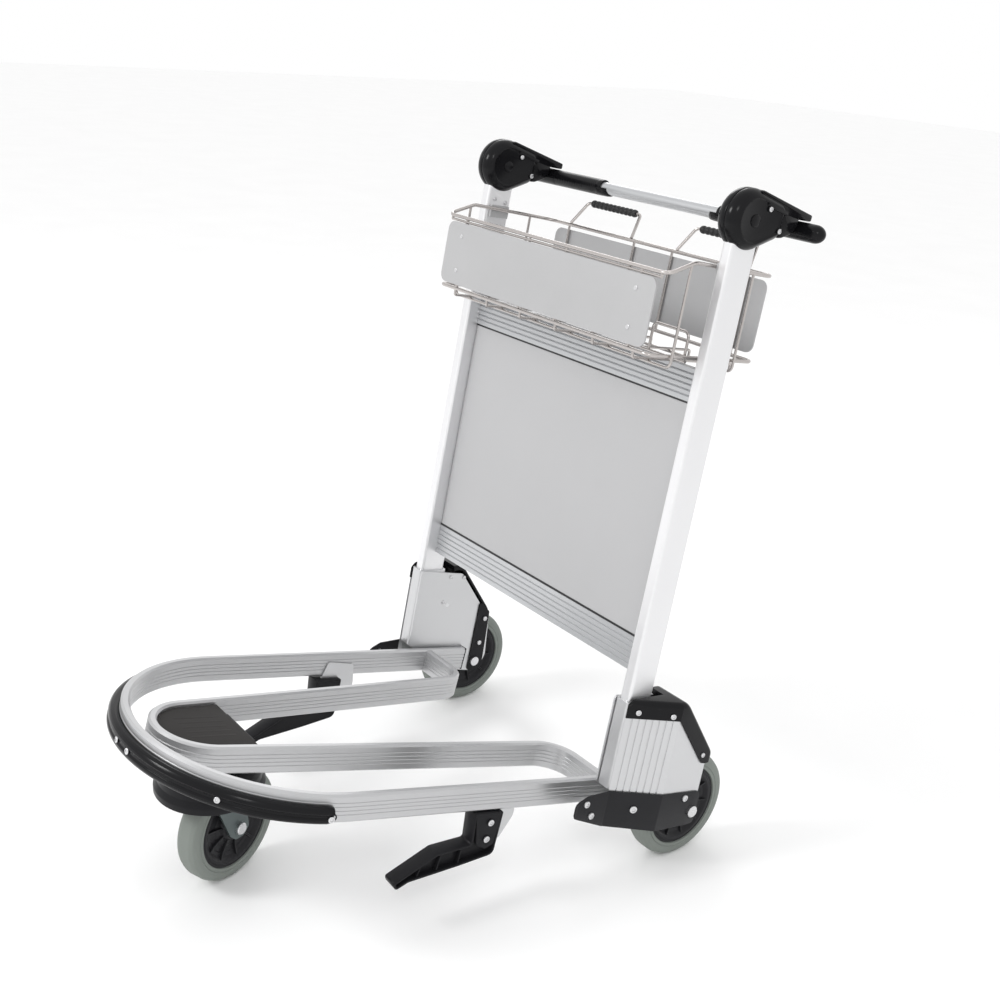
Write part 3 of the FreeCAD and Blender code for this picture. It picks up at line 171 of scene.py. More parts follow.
def make_materials():
    made = {}

    def add(name, *look, **extra):
        made[name] = surface(name, *look, **extra)

    add("satin_aluminium", (0.60, 0.603, 0.612), 0.85, 0.36, 0.03, 420.0, ALONG_Z, 0.03,
        0.0001, wear=0.015)
    # the uprights' copy: the same satin aluminium made lighter, painted light on the uprights
    add("upright_aluminium_painted_light", (0.80, 0.80, 0.81), 0.8, 0.38, 0.03, 420.0, ALONG_Z, 0.03, 0.0001,
        wear=0.012)
    # the rails' copy: the same satin aluminium made darker, painted shade on the rails
    add("rail_aluminium_painted_shade", (0.52, 0.522, 0.53), 0.85, 0.36, 0.03, 420.0, ALONG_Y, 0.03, 0.0001,
        wear=0.02)
    add("cross_aluminium", (0.52, 0.528, 0.54), 0.85, 0.34, 0.03, 420.0, ALONG_X, 0.03, 0.0001,
        wear=0.015)
    add("panel_board", (0.435, 0.435, 0.442), 0.0, 0.62, 0.04, 900.0, EVEN, 0.05, 0.0001,
        wear=0.01)
    add("basket_sheet", (0.425, 0.425, 0.43), 0.25, 0.48, 0.06, 500.0, EVEN, 0.06, 0.0001,
        wear=0.025)
    add("stainless_wire", (0.50, 0.47, 0.455), 1.0, 0.25, 0.03, 60.0, EVEN, 0.01, 0.00005,
        wear=0.05)
    add("plated_steel", (0.66, 0.66, 0.67), 1.0, 0.28, 0.07, 600.0, EVEN, 0.10, 0.0001,
        wear=0.06)
    add("grey_tyre", (0.185, 0.205, 0.187), 0.0, 0.66, 0.06, 400.0, EVEN, 0.25, 0.0003,
        wear=0.08)
    add("tread_rubber", (0.20, 0.19, 0.165), 0.0, 0.78, 0.08, 260.0, EVEN, 0.45, 0.0006,
        wear=0.15)
    add("black_hub", (0.018, 0.018, 0.020), 0.0, 0.36, 0.06, 500.0, EVEN, 0.12, 0.0002,
        coat=0.03, wear=0.15, shine=0.15)
    add("fork_paint", (0.115, 0.138, 0.138), 0.75, 0.38, 0.07, 200.0, EVEN, 0.15, 0.0003,
        wear=0.15)
    add("gloss_black", (0.0065, 0.0065, 0.0075), 0.0, 0.20, 0.04, 120.0, EVEN, 0.05, 0.0002,
        coat=0.12, wear=0.12, shine=0.1)
    add("black_moulding", (0.013, 0.013, 0.0145), 0.0, 0.34, 0.07, 420.0, EVEN, 0.18, 0.0003,
        coat=0.03, wear=0.2, shine=0.1)
    add("nose_board", (0.024, 0.022, 0.021), 0.0, 0.6, 0.06, 700.0, EVEN, 0.20, 0.0003,
        wear=0.12, shine=0.15)
    add("black_rubber", (0.014, 0.014, 0.015), 0.0, 0.55, 0.08, 300.0, EVEN, 0.2, 0.0003,
        wear=0.2)
    return made


materials = make_materials()
slot_of = {s["node"]: s["material_slot"] for s in frame["record"]["subparts"]}


def dress_frame():
    """Every CAD node gets its slot's finish, or a special copy with grain along its own direction; the uprights'
    copy is lighter, painted light, the rails' copy darker, painted shade, and the cross pieces' copy darker too.
    """
    special = {"outer_rail": "rail_aluminium_painted_shade", "inner_rail": "rail_aluminium_painted_shade",
               "bottom_rail": "cross_aluminium", "top_rail": "cross_aluminium",
               "handle_bar": "cross_aluminium",
               "upright_left": "upright_aluminium_painted_light", "upright_right": "upright_aluminium_painted_light"}
    for name, node in frame["nodes"].items():
        mat = materials[special.get(name, slot_of[name])]
        node.data.materials.clear()
        node.data.materials.append(mat)


dress_frame()


# ---------------------------------------------------------------- mesh building
def make_piece(name, points, faces, material, body, replaced=(), sharp=34):
    """A mesh piece from world points, smooth except at its sharp corners."""
    mesh = bpy.data.meshes.new(name)
    mesh.from_pydata([tuple(p) for p in points], [], faces)
    bm = bmesh.new()
    bm.from_mesh(mesh)
    bmesh.ops.remove_doubles(bm, verts=bm.verts, dist=1e-6)
    bmesh.ops.recalc_face_normals(bm, faces=bm.faces)
    bm.to_mesh(mesh)
    bm.free()
    mesh.materials.append(materials[material])
    mesh.shade_smooth()
    mesh.set_sharp_from_angle(angle=math.radians(sharp))
    obj = bpy.data.objects.new(name, mesh)
    bpy.context.scene.collection.objects.link(obj)
    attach(obj, body)
    if replaced:
        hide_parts(*replaced)
    return obj


class Form:
    """Collects points and faces of several simple shapes for one piece."""

    def __init__(self):
        self.points = []
        self.faces = []

    def take(self, points, faces):
        base = len(self.points)
        self.points.extend(points)
        self.faces.extend([base + i for i in f] for f in faces)

    def lathe(self, profile, centre, axis, segments=72):
        """Turns a (radius, along) profile, in millimetres, about an axis."""
        axis = Vector(axis).normalized()
        side = axis.orthogonal().normalized()
        other = axis.cross(side)
        points, rings = [], []
        for r, a in profile:
            middle = centre + axis * (a * MM)
            if r < 1e-6:
                rings.append([len(points)] * segments)
                points.append(middle)
                continue
            ring = []
            for k in range(segments):
                t = 2 * math.pi * k / segments
                ring.append(len(points))
                points.append(middle + (side * math.cos(t) + other * math.sin(t)) * (r * MM))
            rings.append(ring)
        faces = []
        for a, b in zip(rings, rings[1:]):
            for k in range(segments):
                n = (k + 1) % segments
                face = []
                for i in (a[k], a[n], b[n], b[k]):
                    if i not in face:
                        face.append(i)
                if len(face) > 2:
                    faces.append(face)
        self.take(points, faces)

    def loft(self, rings, caps=True):
        """Joins closed rings of equal length, with flat ends."""
        points, faces = [], []
        for ring in rings:
            points.extend(ring)
        n = len(rings[0])
        for r in range(len(rings) - 1):
            for k in range(n):
                m = (k + 1) % n
                faces.append([r * n + k, r * n + m, (r + 1) * n + m, (r + 1) * n + k])
        if caps:
            faces.append(list(range(n))[::-1])
            faces.append([(len(rings) - 1) * n + k for k in range(n)])
        self.take(points, faces)

    def slab(self, outline, steps, place):
        """Stacks insets of an outline; steps are (inset, height) and place maps (u, v, h)."""
        rings = []
        for inset, height in steps:
            rings.append([place(u, v, height) for u, v in inset_outline(outline, inset)])
        self.loft(rings)

    def piece(self, name, material, body, replaced=(), sharp=34):
        return make_piece(name, self.points, self.faces, material, body, replaced, sharp)


def round_corners(points, radii, steps=6, closed=True):
    """A 2-D outline with arcs in its corners; one radius for all, or one each."""
    if not isinstance(radii, (list, tuple)):
        radii = [radii] * len(points)
    result = []
    count = len(points)
    for i, (p, r) in enumerate(zip(points, radii)):
        if r == 0 or (not closed and i in (0, count - 1)):
            result.append(Vector(p))
            continue
        p = Vector(p)
        back = Vector(points[i - 1]) - p
        ahead = Vector(points[(i + 1) % count]) - p
        half = back.angle(ahead) / 2
        reach = min(r / math.tan(half), back.length * 0.48, ahead.length * 0.48)
        r = reach * math.tan(half)
        back.normalize()
        ahead.normalize()
        centre = p + (back + ahead).normalized() * (r / math.sin(half))
        start = p + back * reach - centre
        end = p + ahead * reach - centre
        first = math.atan2(start.y, start.x)
        swing = (math.atan2(end.y, end.x) - first + math.pi) % (2 * math.pi) - math.pi
        for k in range(steps + 1):
            t = first + swing * k / steps
            result.append(centre + Vector((math.cos(t), math.sin(t))) * start.length)
    return [(q[0], q[1]) for q in result]


def arc_points(centre, radius, start, end, steps):
    """Points on an arc between two angles in degrees."""
    found = []
    for k in range(steps + 1):
        t = math.radians(start + (end - start) * k / steps)
        found.append((centre[0] + radius * math.cos(t), centre[1] + radius * math.sin(t)))
    return found


def inset_outline(outline, inset):
    """The outline moved inwards, corner by corner."""
    if abs(inset) < 1e-9:
        return list(outline)
    count = len(outline)
    area = 0.0
    for i in range(count):
        (x0, y0), (x1, y1) = outline[i - 1], outline[i]
        area += x0 * y1 - x1 * y0
    sign = 1 if area > 0 else -1
    moved = []
    for i in range(count):
        p = Vector(outline[i])
        a = (p - Vector(outline[i - 1])).normalized()
        b = (Vector(outline[(i + 1) % count]) - p).normalized()
        na = Vector((-a.y, a.x)) * sign
        nb = Vector((-b.y, b.x)) * sign
        mean = (na + nb).normalized()
        reach = min(1.6, 1 / max(0.3, mean.dot(na)))
        q = p + mean * inset * reach
        moved.append((q.x, q.y))
    return moved


def edge_round(thickness, radius, steps=5, foot=0.0):
    """(inset, height) steps for a slab with rounded rims."""
    up = []
    for k in range(steps + 1):
        t = math.pi / 2 * k / steps
        up.append((radius * (1 - math.cos(t)), thickness - radius + radius * math.sin(t)))
    down = []
    for k in range(steps + 1):
        t = math.pi / 2 * (1 - k / steps)
        down.append((radius * (1 - math.cos(t)), foot + radius - radius * math.sin(t)))
    return down + up


# ---------------------------------------------------------------- wheels
HUB_RIBS = 10


def soft_profile(corners, radii, steps=5):
    """A (radius, along) profile with rounded corners, open at its ends."""
    return round_corners(corners, radii, steps, closed=False)


def mirrored(profile):
    """The profile of the wheel's other side, in the order that carries the line on."""
    return [(r, -a) for r, a in reversed(profile)]


def make_tyre(prefix, centre, axis, body):
    """Tyre with moulded lips on its sidewalls, and the bands of its tread."""
    outer = [(67.5, -17), (70, -19), (81, -19), (87.2, -16.2), (90, -9),
             (90, 9), (87.2, 16.2), (81, 19), (70, 19), (67.5, 17)]
    shape = soft_profile(outer, [0, 1, 5, 5, 6, 6, 5, 5, 1, 0])
    crown = [p for p in shape if p[0] > 80]
    lip = [(67.5, -16), (68.2, -18.6), (72.6, -18.9), (73.4, -18.1), (74.2, -18.9)]
    tyre = Form()
    tyre.lathe(lip + crown + mirrored(lip) + [(67.5, 0), (67.5, -16)], centre, axis, 128)
    tyre.piece(prefix + "_tyre_look", "grey_tyre", body, [prefix + "_tyre"], 40)
    tread = Form()
    low, high = 89.3, 89.96
    for a in (-6.5, -2.2, 2.2, 6.5):
        band = [(low, a - 1.5), (high, a - 1.3), (high, a + 1.3), (low, a + 1.5), (low, a - 1.5)]
        tread.lathe(band, centre, axis, 96)
    tread.piece(prefix + "_tread_bands", "tread_rubber", body, ())


def make_hub(prefix, centre, axis, body):
    """Hub with a recessed face and ribs on either side."""
    face = [(16, 18.2), (19, 18.8), (22, 18.4), (24, 15.5), (26, 11.2), (34, 10.2), (35, 9.2),
            (45, 9.2), (46.5, 10.4), (52, 11.0), (56.5, 15.6), (58.5, 17.0), (62.5, 17.0),
            (63.5, 15.8), (65.5, 15.8), (67.4, 16.2)]
    radii = [0] + [0.9] * (len(face) - 2) + [0]
    hub = Form()
    front = soft_profile(face, radii, 3)
    back = soft_profile(mirrored(face), radii, 3)
    hub.lathe([(16, 0)] + front + back + [(16, 0)], centre, axis, 96)
    side = Vector(axis).orthogonal().normalized()
    other = Vector(axis).cross(side)
    for way in (1, -1):
        for k in range(HUB_RIBS):
            t = 2 * math.pi * (k + 0.5) / HUB_RIBS
            out = side * math.cos(t) + other * math.sin(t)
            hub.loft(rib_rings(centre, Vector(axis), out, way))
    hub.piece(prefix + "_hub_look", "black_hub", body, [prefix + "_hub"])


def rib_rings(centre, axis, out, way):
    """Cross-sections of one hub rib from the middle outwards."""
    across = axis.cross(out)
    rings = []
    stations = [(23.5, 2.2, 15.0), (30, 1.8, 14.0), (44, 1.6, 13.6), (56, 2.2, 15.6)]
    for reach, width, rise in stations:
        middle = centre + out * (reach * MM)
        ring = []
        for w, h in ((-width, 8.4), (-width * 0.7, rise), (width * 0.7, rise), (width, 8.4)):
            ring.append(middle + across * (w * MM) + axis * (way * h * MM))
        rings.append(ring)
    return rings


def make_bearings(prefix, centre, axis, body):
    """Bearing with a dished seal on either side."""
    shape = [(6.1, 9), (6.1, 18.4), (8.4, 18.9), (9.2, 18.0), (13.2, 18.0), (14.0, 18.9),
             (15.6, 18.9), (15.9, 17.5), (15.9, 9), (6.1, 9)]
    seal = Form()
    for way in (1, -1):
        seal.lathe([(r, way * a) for r, a in shape], centre, axis, 48)
    seal.piece(prefix + "_bearing_look", "plated_steel", body, [prefix + "_bearings"])


def make_wheel(*wheel):
    make_tyre(*wheel)
    make_hub(*wheel)
    make_bearings(*wheel)


def make_wheels():
    for side in ("left", "right"):
        centre = Vector(joints[side + "_wheel_spin"]["pos_m"])
        make_wheel("rear_wheel_" + side, centre, Vector((1, 0, 0)), side + "_rear_wheel")
    make_wheel("front_wheel", front_axle, front_axis, "front_wheel")


# ---------------------------------------------------------------- handle
HOUSING_MIDDLE = 283.5


def housing_body_outline():
    """Round head and the triangular body behind it, (back, up)."""
    head = arc_points((PIVOT_BACK, PIVOT_UP), 43.6, 78, 290, 40)
    tail = [(43.3, 1003.3), (86, 1022.8), (90, 1073.6), (33.9, 1085.6)]
    return head + round_corners(tail, [0, 15.5, 15.5, 0], 7, closed=False)[1:-1]


def cheek_outline():
    """Side wall that closes the mouth in front of the grip."""
    corners = [(80, 1062), (80, 1024), (90, 1024.8), (106, 1031), (117.6, 1042), (118.6, 1056)]
    return round_corners(corners, [2, 3, 10, 12, 8, 2.5], 5)


def lip_outline():
    """Raised rib on the face, from the head's screw along the tail."""
    corners = [(40, 1068), (46, 1071.5), (88, 1062.4), (88, 1056.4), (46, 1065)]
    return round_corners(corners, [2.5, 3, 2, 2, 2.5], 4)


def ridge_outline():
    """Raised bar along the tail's top edge."""
    corners = [(24, 1084), (34, 1085.8), (145.8, 1063.6), (145.4, 1053.6), (102, 1054.4),
               (84, 1057), (46, 1068.5)]
    return round_corners(corners, [3, 12, 2.5, 2.5, 8, 10, 5], 5)


BODY_STEPS = [(1.2, 0.1), (0.2, 0.9), (0, 2), (0, 5.5), (0.9, 9.5), (2.6, 13.2), (5.2, 16.6),
              (8.2, 19.2), (10.4, 20.6), (11.6, 20.95), (12.8, 20.5), (13.3, 19.3), (14.2, 18.9)]
RIDGE_STEPS = [(0.8, 0.1), (0, 0.9), (0, 13), (0.4, 15.4), (1.3, 17.0), (2.7, 17.6)]
LIP_STEPS = [(0.4, 18.0), (0, 18.6), (0, 20.0), (0.5, 20.7), (1.2, 20.95)]
CHEEK_STEPS = [(1.0, 8.4), (0, 9.2), (0, 14.6), (0.8, 16.4), (2.4, 17.4)]
PIVOT_CAP = [(0, 21.0), (7, 20.9), (8.6, 20.3), (9.2, 19.2), (9.4, 17)]


def make_housings():
    """Two half shells on each side, each built outwards from the housing's middle."""
    for side, sign in (("left", 1), ("right", -1)):
        for layer, way in (("outer", sign), ("inner", -sign)):
            form = Form()
            middle = sign * HOUSING_MIDDLE

            def place(u, v, h, way=way, middle=middle):
                return on_upright(middle + way * h, u, v)

            form.slab(housing_body_outline(), BODY_STEPS, place)
            form.slab(ridge_outline(), RIDGE_STEPS, place)
            form.slab(lip_outline(), LIP_STEPS, place)
            form.slab(cheek_outline(), CHEEK_STEPS, place)
            hinge = on_upright(middle, PIVOT_BACK, PIVOT_UP)
            form.lathe(PIVOT_CAP, hinge, Vector((way, 0, 0)), 40)
            name = "housing_%s_%s_shell" % (side, layer)
            form.piece(name, "gloss_black", "frame", ["housing_%s_shells" % layer],
                       50)


GRIP_BACK = 134
GRIP_UP = 1039
GRIP_RADIUS = 13.45
LEVER_MIDDLE = 281.5


def grip_profile():
    """Ribbed sleeve with a bullet end, as (radius, along) from the trolley's middle."""
    shape = [(10.0, 136), (12.0, 135.4), (13.0, 136.6), (13.2, 140)]
    for k in range(24):
        start = 146 + k * 4.6
        shape += [(13.3, start), (13.0, start + 1.2), (13.0, start + 2.6), (13.3, start + 3.8)]
    shape += [(13.4, 262), (GRIP_RADIUS, 300), (GRIP_RADIUS, 322)]
    for k in range(1, 8):
        t = math.pi / 2 * k / 8
        shape.append((GRIP_RADIUS * math.cos(t), 322 + 16.6 * math.sin(t)))
    return shape + [(0, 338.6)]


def inner_lip_rings(sign):
    """Half shell under the push bar, at the grip's inner end."""
    rings = []
    for reach, low, half in ((112, 10.2, 3), (118, 12.2, 8), (126, 13.0, 10.5), (140, 13.2, 11)):
        ring = []
        for k in range(13):
            t = math.pi + math.pi * k / 12
            back = GRIP_BACK + 12.6 * math.cos(t) * half / 11
            ring.append(on_upright(sign * reach, back, GRIP_UP + low * math.sin(t)))
        for k in range(13):
            t = 2 * math.pi - math.pi * k / 12
            back = GRIP_BACK + 10.3 * math.cos(t) * half / 11
            ring.append(on_upright(sign * reach, back, GRIP_UP + 10.3 * math.sin(t)))
        rings.append(ring)
    return rings


def make_grips():
    """Grip mouldings with the lever that runs into the housing."""
    lever = [(30, 1049), (30, 1037), (126, 1033.5), (132, 1039), (126, 1044.5)]
    for side, sign in (("left", 1), ("right", -1)):
        form = Form()
        centre = on_upright(0, GRIP_BACK, GRIP_UP)
        form.lathe(grip_profile(), centre, Vector((sign, 0, 0)), 56)
        form.loft(inner_lip_rings(sign))

        def place(u, v, h):
            return on_upright(sign * (LEVER_MIDDLE + h), u, v)

        form.slab(round_corners(lever, [3, 3, 4, 4, 4], 4), edge_round(8.0, 1.6, 3), place)
        form.piece("handle_grip_%s_look" % side, "gloss_black", "push_handle",
                   ["handle_grip_" + side], 30)


# ---------------------------------------------------------------- nose
TAPER = 0.045
NOSE_LENGTH = 809.0
RAIL_HALF = 259.0
RAIL_REACH = 6.5
BUMPER_DEPTH = -26.0
BUMPER_BACK = 6.6
BUMPER_END = 622.0


def nose_circle():
    c = math.cos(math.atan(TAPER))
    radius = c * (RAIL_HALF - TAPER * NOSE_LENGTH) / (1 - TAPER * c)
    return radius, NOSE_LENGTH - radius


def bumper_route():
    """(point, outward) pairs along the nose arc, in the platform's frame."""
    radius, centre = nose_circle()
    first = math.degrees(math.asin((BUMPER_END - centre) / radius))
    found = []
    for k in range(89):
        t = math.radians(first + (180 - 2 * first) * k / 88)
        c, s = math.cos(t), math.sin(t)
        found.append(((radius * c, -centre - radius * s), (c, -s)))
    return found


def bumper_section():
    """(outward, up) outline of the strip: two beads with a groove between them."""
    corners = [(BUMPER_BACK, 11.9), (14, 12.2), (18.6, 10.6), (20.6, 7.4), (21.2, 4.2),
               (20.3, 2.6), (19.0, 1.6), (18.9, -1.6), (20.3, -2.6), (21.2, -4.2),
               (20.6, -7.4), (18.6, -10.6), (14, -12.2), (BUMPER_BACK, -11.9)]
    return round_corners(corners, [0.6, 3, 3, 2, 1, 0.8, 0.5, 0.5, 0.8, 1, 2, 3, 3, 0.6], 3)


def make_bumper():
    """The strip round the nose, lower and thinner towards its two ends."""
    section = bumper_section()
    route = bumper_route()
    rings = []
    for i, ((x, y), (ox, oy)) in enumerate(route):
        end = min(i, len(route) - 1 - i)
        near = min(1.0, end / 14)
        tip = 0.88 if end == 0 else 1.0
        tall = (1.0 + 0.15 * near) * tip
        depth = BUMPER_DEPTH - 1.3 * near
        ring = []
        for a, z in section:
            out = BUMPER_BACK + (a - BUMPER_BACK) * tip
            ring.append(on_platform(x + ox * out, y + oy * out, depth + z * tall))
        rings.append(ring)
    form = Form()
    form.loft(rings)
    form.piece("nose_bumper_look", "gloss_black", "frame", ["nose_bumper"], 46)


def make_screw_cups():
    """Countersunk cups along the bumper."""
    radius, centre = nose_circle()
    rail_edge = radius + RAIL_REACH
    near, far = rail_edge + 12, rail_edge + 13
    cups = Form()
    for degrees in (12, 48, 86, 94, 132, 166):
        t = math.radians(degrees)
        c, s = math.cos(t), math.sin(t)
        at = on_platform(near * c, -centre - near * s, BUMPER_DEPTH)
        ahead = on_platform(far * c, -centre - far * s, BUMPER_DEPTH)
        cup = [(6.2, 0), (6.2, 1.7), (5.4, 2.3), (4.4, 2.3), (4.2, 1.2)]
        cups.lathe(cup, at, (ahead - at).normalized(), 28)
    cups.piece("bumper_screw_cups", "gloss_black", "frame", ())


BOWL_LOW = 170.0


def make_bowl():
    """Moulded caster cover: a flared lip, a waist and a domed top."""
    form = Form()
    corners = [(76, 1.2), (79, 0.2), (81.6, 2.2), (81.8, 12), (78.5, 18), (76.6, 21), (76, 30),
               (73.5, 38), (66, 49), (52, 51.6), (9, 51.8), (9, 47), (52, 47), (63, 42),
               (70, 30), (73, 20), (77, 10), (76, 1.2)]
    radii = [0, 1, 1.5, 4, 3, 3, 8, 8, 7, 6, 0, 0, 5, 6, 6, 4, 3, 0]
    base = Vector((swivel.x, swivel.y, BOWL_LOW * MM))
    form.lathe(soft_profile(corners, radii, 4), base, Vector((0, 0, 1)), 96)
    form.piece("caster_housing_look", "black_moulding", "frame", ["caster_housing"],
               42)


PLATE_GAP = 0.5
PLATE_LOW = -10


def nose_plate_outline():
    """The plate that fills the inner rail's nose."""
    taper = 0.1
    length, half = 781.0, 144.5
    c = math.cos(math.atan(taper))
    radius = c * (half - taper * length) / (1 - taper * c)
    centre = length - radius
    clear = radius - RAIL_REACH - PLATE_GAP
    lean = math.degrees(math.atan(taper))
    arc = arc_points((0, -centre), clear, 180 - lean, 360 + lean, 48)
    last = arc[-1]
    rear = -650.6
    wide = last[0] + (rear - last[1]) * taper
    return [(wide, rear), (-wide, rear)] + arc


def make_nose_plate():
    form = Form()

    def place(u, v, h):
        return on_platform(u, v, PLATE_LOW + h)

    form.slab(nose_plate_outline(), edge_round(3.9, 1.3, 3, foot=0.05), place)
    # ridges along the middle of the board
    for x in (-30, -15, 0, 15, 30):
        corners = [(x - 3.4, -742), (x + 3.4, -742), (x + 3.4, -668), (x - 3.4, -668)]
        form.slab(round_corners(corners, 3.2, 4), [(0, 3.2), (0.3, 3.8), (0.9, 4.0)], place)
    form.piece("nose_plate_look", "nose_board", "frame", ["nose_plate"], 40)


# ---------------------------------------------------------------- feet
FOOT_Y = -347.0
FOOT_MIDDLE = 237.98
FOOT_PIVOT_X = 236.47
FOOT_LEAN = math.atan(0.045 / math.cos(PLATFORM_TILT))


def foot_place(sign):
    c, s = math.cos(-FOOT_LEAN), math.sin(-FOOT_LEAN)

    def place(u, v, h):
        dx, dy = FOOT_MIDDLE + h - FOOT_PIVOT_X, u - FOOT_Y
        x = FOOT_PIVOT_X + dx * c - dy * s
        y = FOOT_Y + dx * s + dy * c
        return mm(sign * x, y, v)

    return place


def make_feet():
    """Ribbed mouldings: a border round a recessed web, cross ribs and a solid boss."""
    corners = [(-321.4, 149.0), (-335.2, 78.4), (-400, 77.4), (-485, 78.3), (-506, 71.4),
               (-509.6, 84), (-436, 111.6), (-377, 108.6), (-373.4, 160.8)]
    outline = round_corners(corners, [2, 12, 20, 12, 5, 4, 14, 4, 2], 5)
    border = [(1.0, -13.8), (0, -12.6), (0, 12.6), (1.0, 13.8),
              (2.8, 13.8), (3.6, 13.0), (3.9, -13.0), (3.0, -13.8)]
    boss = [(-323.6, 147), (-336.4, 96), (-352, 92), (-368, 104), (-371.6, 158)]
    boss = round_corners(boss, [3, 6, 8, 6, 3], 4)
    ribs = [((-398, 80), (-392, 108)), ((-436, 80), (-428, 108)), ((-470, 80), (-462, 99))]
    for side, sign in (("left", 1), ("right", -1)):
        place = foot_place(sign)
        form = Form()
        rings = []
        for inset, height in border:
            rings.append([place(u, v, height) for u, v in inset_outline(outline, inset)])
        rings.append(rings[0])
        form.loft(rings, caps=False)
        form.slab(inset_outline(outline, 2.0), [(0, -13.2), (0, 3.5)], place)
        form.slab(boss, [(0, 3.0), (0, 12.2), (0.8, 13.2)], place)
        for (u0, v0), (u1, v1) in ribs:
            rib = [(u0 - 1.3, v0), (u0 + 1.3, v0), (u1 + 1.3, v1), (u1 - 1.3, v1)]
            form.slab(rib, [(0, 3.0), (0, 10.5), (0.5, 11.2)], place)
        form.piece("escalator_foot_" + side, "black_moulding", "frame", ["escalator_feet"],
                   40)


# ---------------------------------------------------------------- pods
POD_FRONT_X = 301.26
POD_SIDE_X = 337.0
POD_CROWN = 311.5
POD_SLOPE = 1.158


def cover_x(u):
    """Outer face of the pod cover at a distance behind the upright's front."""
    if u < 78.0:
        return POD_FRONT_X + (u + 4.0) * (POD_SIDE_X - POD_FRONT_X) / 82.0
    return POD_SIDE_X


def cover_top(u):
    """Height of the cover's crown along its length."""
    if u < 8.0:
        return 303.0 + 8.5 * math.sin(math.pi / 2 * (u + 4.0) / 12.0)
    if u < 84.0:
        return POD_CROWN
    if u < 100.0:
        t = (u - 84.0) / 16.0
        return POD_CROWN - 9.3 * t * t
    return 302.2 - POD_SLOPE * (u - 100.0)


def cover_low(u):
    """Lower edge of the cover's side band and strap."""
    if u < 80.0:
        return 282.0
    return max(282.0 - POD_SLOPE * (u - 80.0), 197.0)


def cover_ring(sign, u, x_in, x_out, low, high, radius):
    """Cross-section of the cover: flat side, rounded shoulder, flat top."""
    radius = min(radius, (x_out - x_in) * 0.7, (high - low) * 0.5)
    ring = [(x_in, low), (x_out - 0.8, low), (x_out, low + 0.8)]
    for k in range(7):
        t = math.pi / 2 * k / 6
        ring.append((x_out - radius + radius * math.cos(t), high - radius + radius * math.sin(t)))
    ring.append((x_in, high))
    return [on_upright(sign * x, u, z) for x, z in ring]


def make_pod_covers():
    """Moulded cap over the pod, running down its sloping back as a strap."""
    stations = [-3.9, -3.2, -2, 0, 2, 4, 6, 8, 16, 30, 50, 70, 74, 76.5, 78, 80, 82, 84]
    stations += [86, 89, 92, 95, 98, 101, 110, 125, 140, 152, 160, 166, 169, 171, 171.8]
    for name, sign in (("left", 1), ("right", -1)):
        form = Form()
        outer, inner = [], []
        for u in stations:
            shrink = 0.0
            if u > 168:
                shrink = (u - 168) ** 2 * 0.12
            side, high = cover_x(u) - shrink, cover_top(u) - shrink
            outer.append(cover_ring(sign, u, 297.9, side, cover_low(u), high, 9.0))
            if u > 54.4:
                inner.append(cover_ring(-sign, u, -298.2, -266.4, high - 9, high, 5.0))
        form.loft(outer)
        form.loft(inner)
        form.piece("pod_cover_" + name, "gloss_black", "frame", ["pod_covers"],
                   42)


def stepped(table, u):
    """Straight-line reading of a (place, value) table."""
    for (u0, v0), (u1, v1) in zip(table, table[1:]):
        if u <= u1:
            return v0 + (v1 - v0) * (u - u0) / (u1 - u0)
    return table[-1][1]


def make_pod_brackets():
    """Folded strap from the rail round the pod to the axle, with eased edges."""
    face = [(-68, 299.0), (-4, 300.72), (78.35, 336.5), (168, 336.5)]
    high = [(-68, 138), (-66.5, 143.5), (-62, 147), (-46, 154.6), (-4, 157), (80, 154),
            (158, 147.5), (166, 144.5), (168, 139)]
    low = [(-68, 124), (-66, 119), (-60, 116.4), (-6, 96), (80, 90), (146, 88.2),
           (162, 88.4), (166, 91), (168, 96)]
    folds = [-2.5, -5.5, 76.9, 79.8]
    corners = [p[0] for p in face + high + low]
    stations = sorted(set(corners + folds + list(range(-64, 166, 8))))
    for name, sign in (("left", 1), ("right", -1)):
        form = Form()
        rings = []
        for u in stations:
            x, z0, z1 = stepped(face, u), stepped(low, u), stepped(high, u)
            section = [(-2.4, z0 + 0.5), (-1.9, z0), (-0.5, z0), (0, z0 + 0.7),
                       (0, z1 - 0.7), (-0.5, z1), (-1.9, z1), (-2.4, z1 - 0.5)]
            rings.append([on_upright(sign * (x + dx), u, z) for dx, z in section])
        form.loft(rings)
        form.piece("pod_bracket_" + name, "black_hub", "frame", ["pod_brackets"], 40)


# ---------------------------------------------------------------- small fixings
def islands(node):
    """Separate solids of a CAD node, as lists of points."""
    mesh = frame["nodes"][node].data
    bm = bmesh.new()
    bm.from_mesh(mesh)
    bmesh.ops.remove_doubles(bm, verts=bm.verts, dist=2e-6)
    seen = set()
    found = []
    for start in bm.verts:
        if start.index in seen:
            continue
        stack, members = [start], []
        seen.add(start.index)
        while stack:
            vert = stack.pop()
            members.append(vert.co.copy())
            for edge in vert.link_edges:
                other = edge.other_vert(vert)
                if other.index not in seen:
                    seen.add(other.index)
                    stack.append(other)
        found.append(members)
    bm.free()
    return found


def turned_axis(points):
    """Centre line of a turned part: (centre, outward direction, head radius, head height)."""
    cloud = np.array([tuple(q) for q in points])
    middle = (cloud.max(0) + cloud.min(0)) / 2
    rel = cloud - cloud.mean(0)
    values, vectors = np.linalg.eigh(rel.T @ rel)
    lone = 0 if values[1] - values[0] > values[2] - values[1] else 2
    axis = vectors[:, lone]
    rel = cloud - middle
    along = rel @ axis
    radial = np.linalg.norm(rel - np.outer(along, axis), axis=1)
    head = along[radial > radial.max() * 0.97].mean()
    if head < (along.max() + along.min()) / 2:
        axis, along = -axis, -along
    return Vector(middle), Vector(axis), radial.max() / MM, along.max() / MM


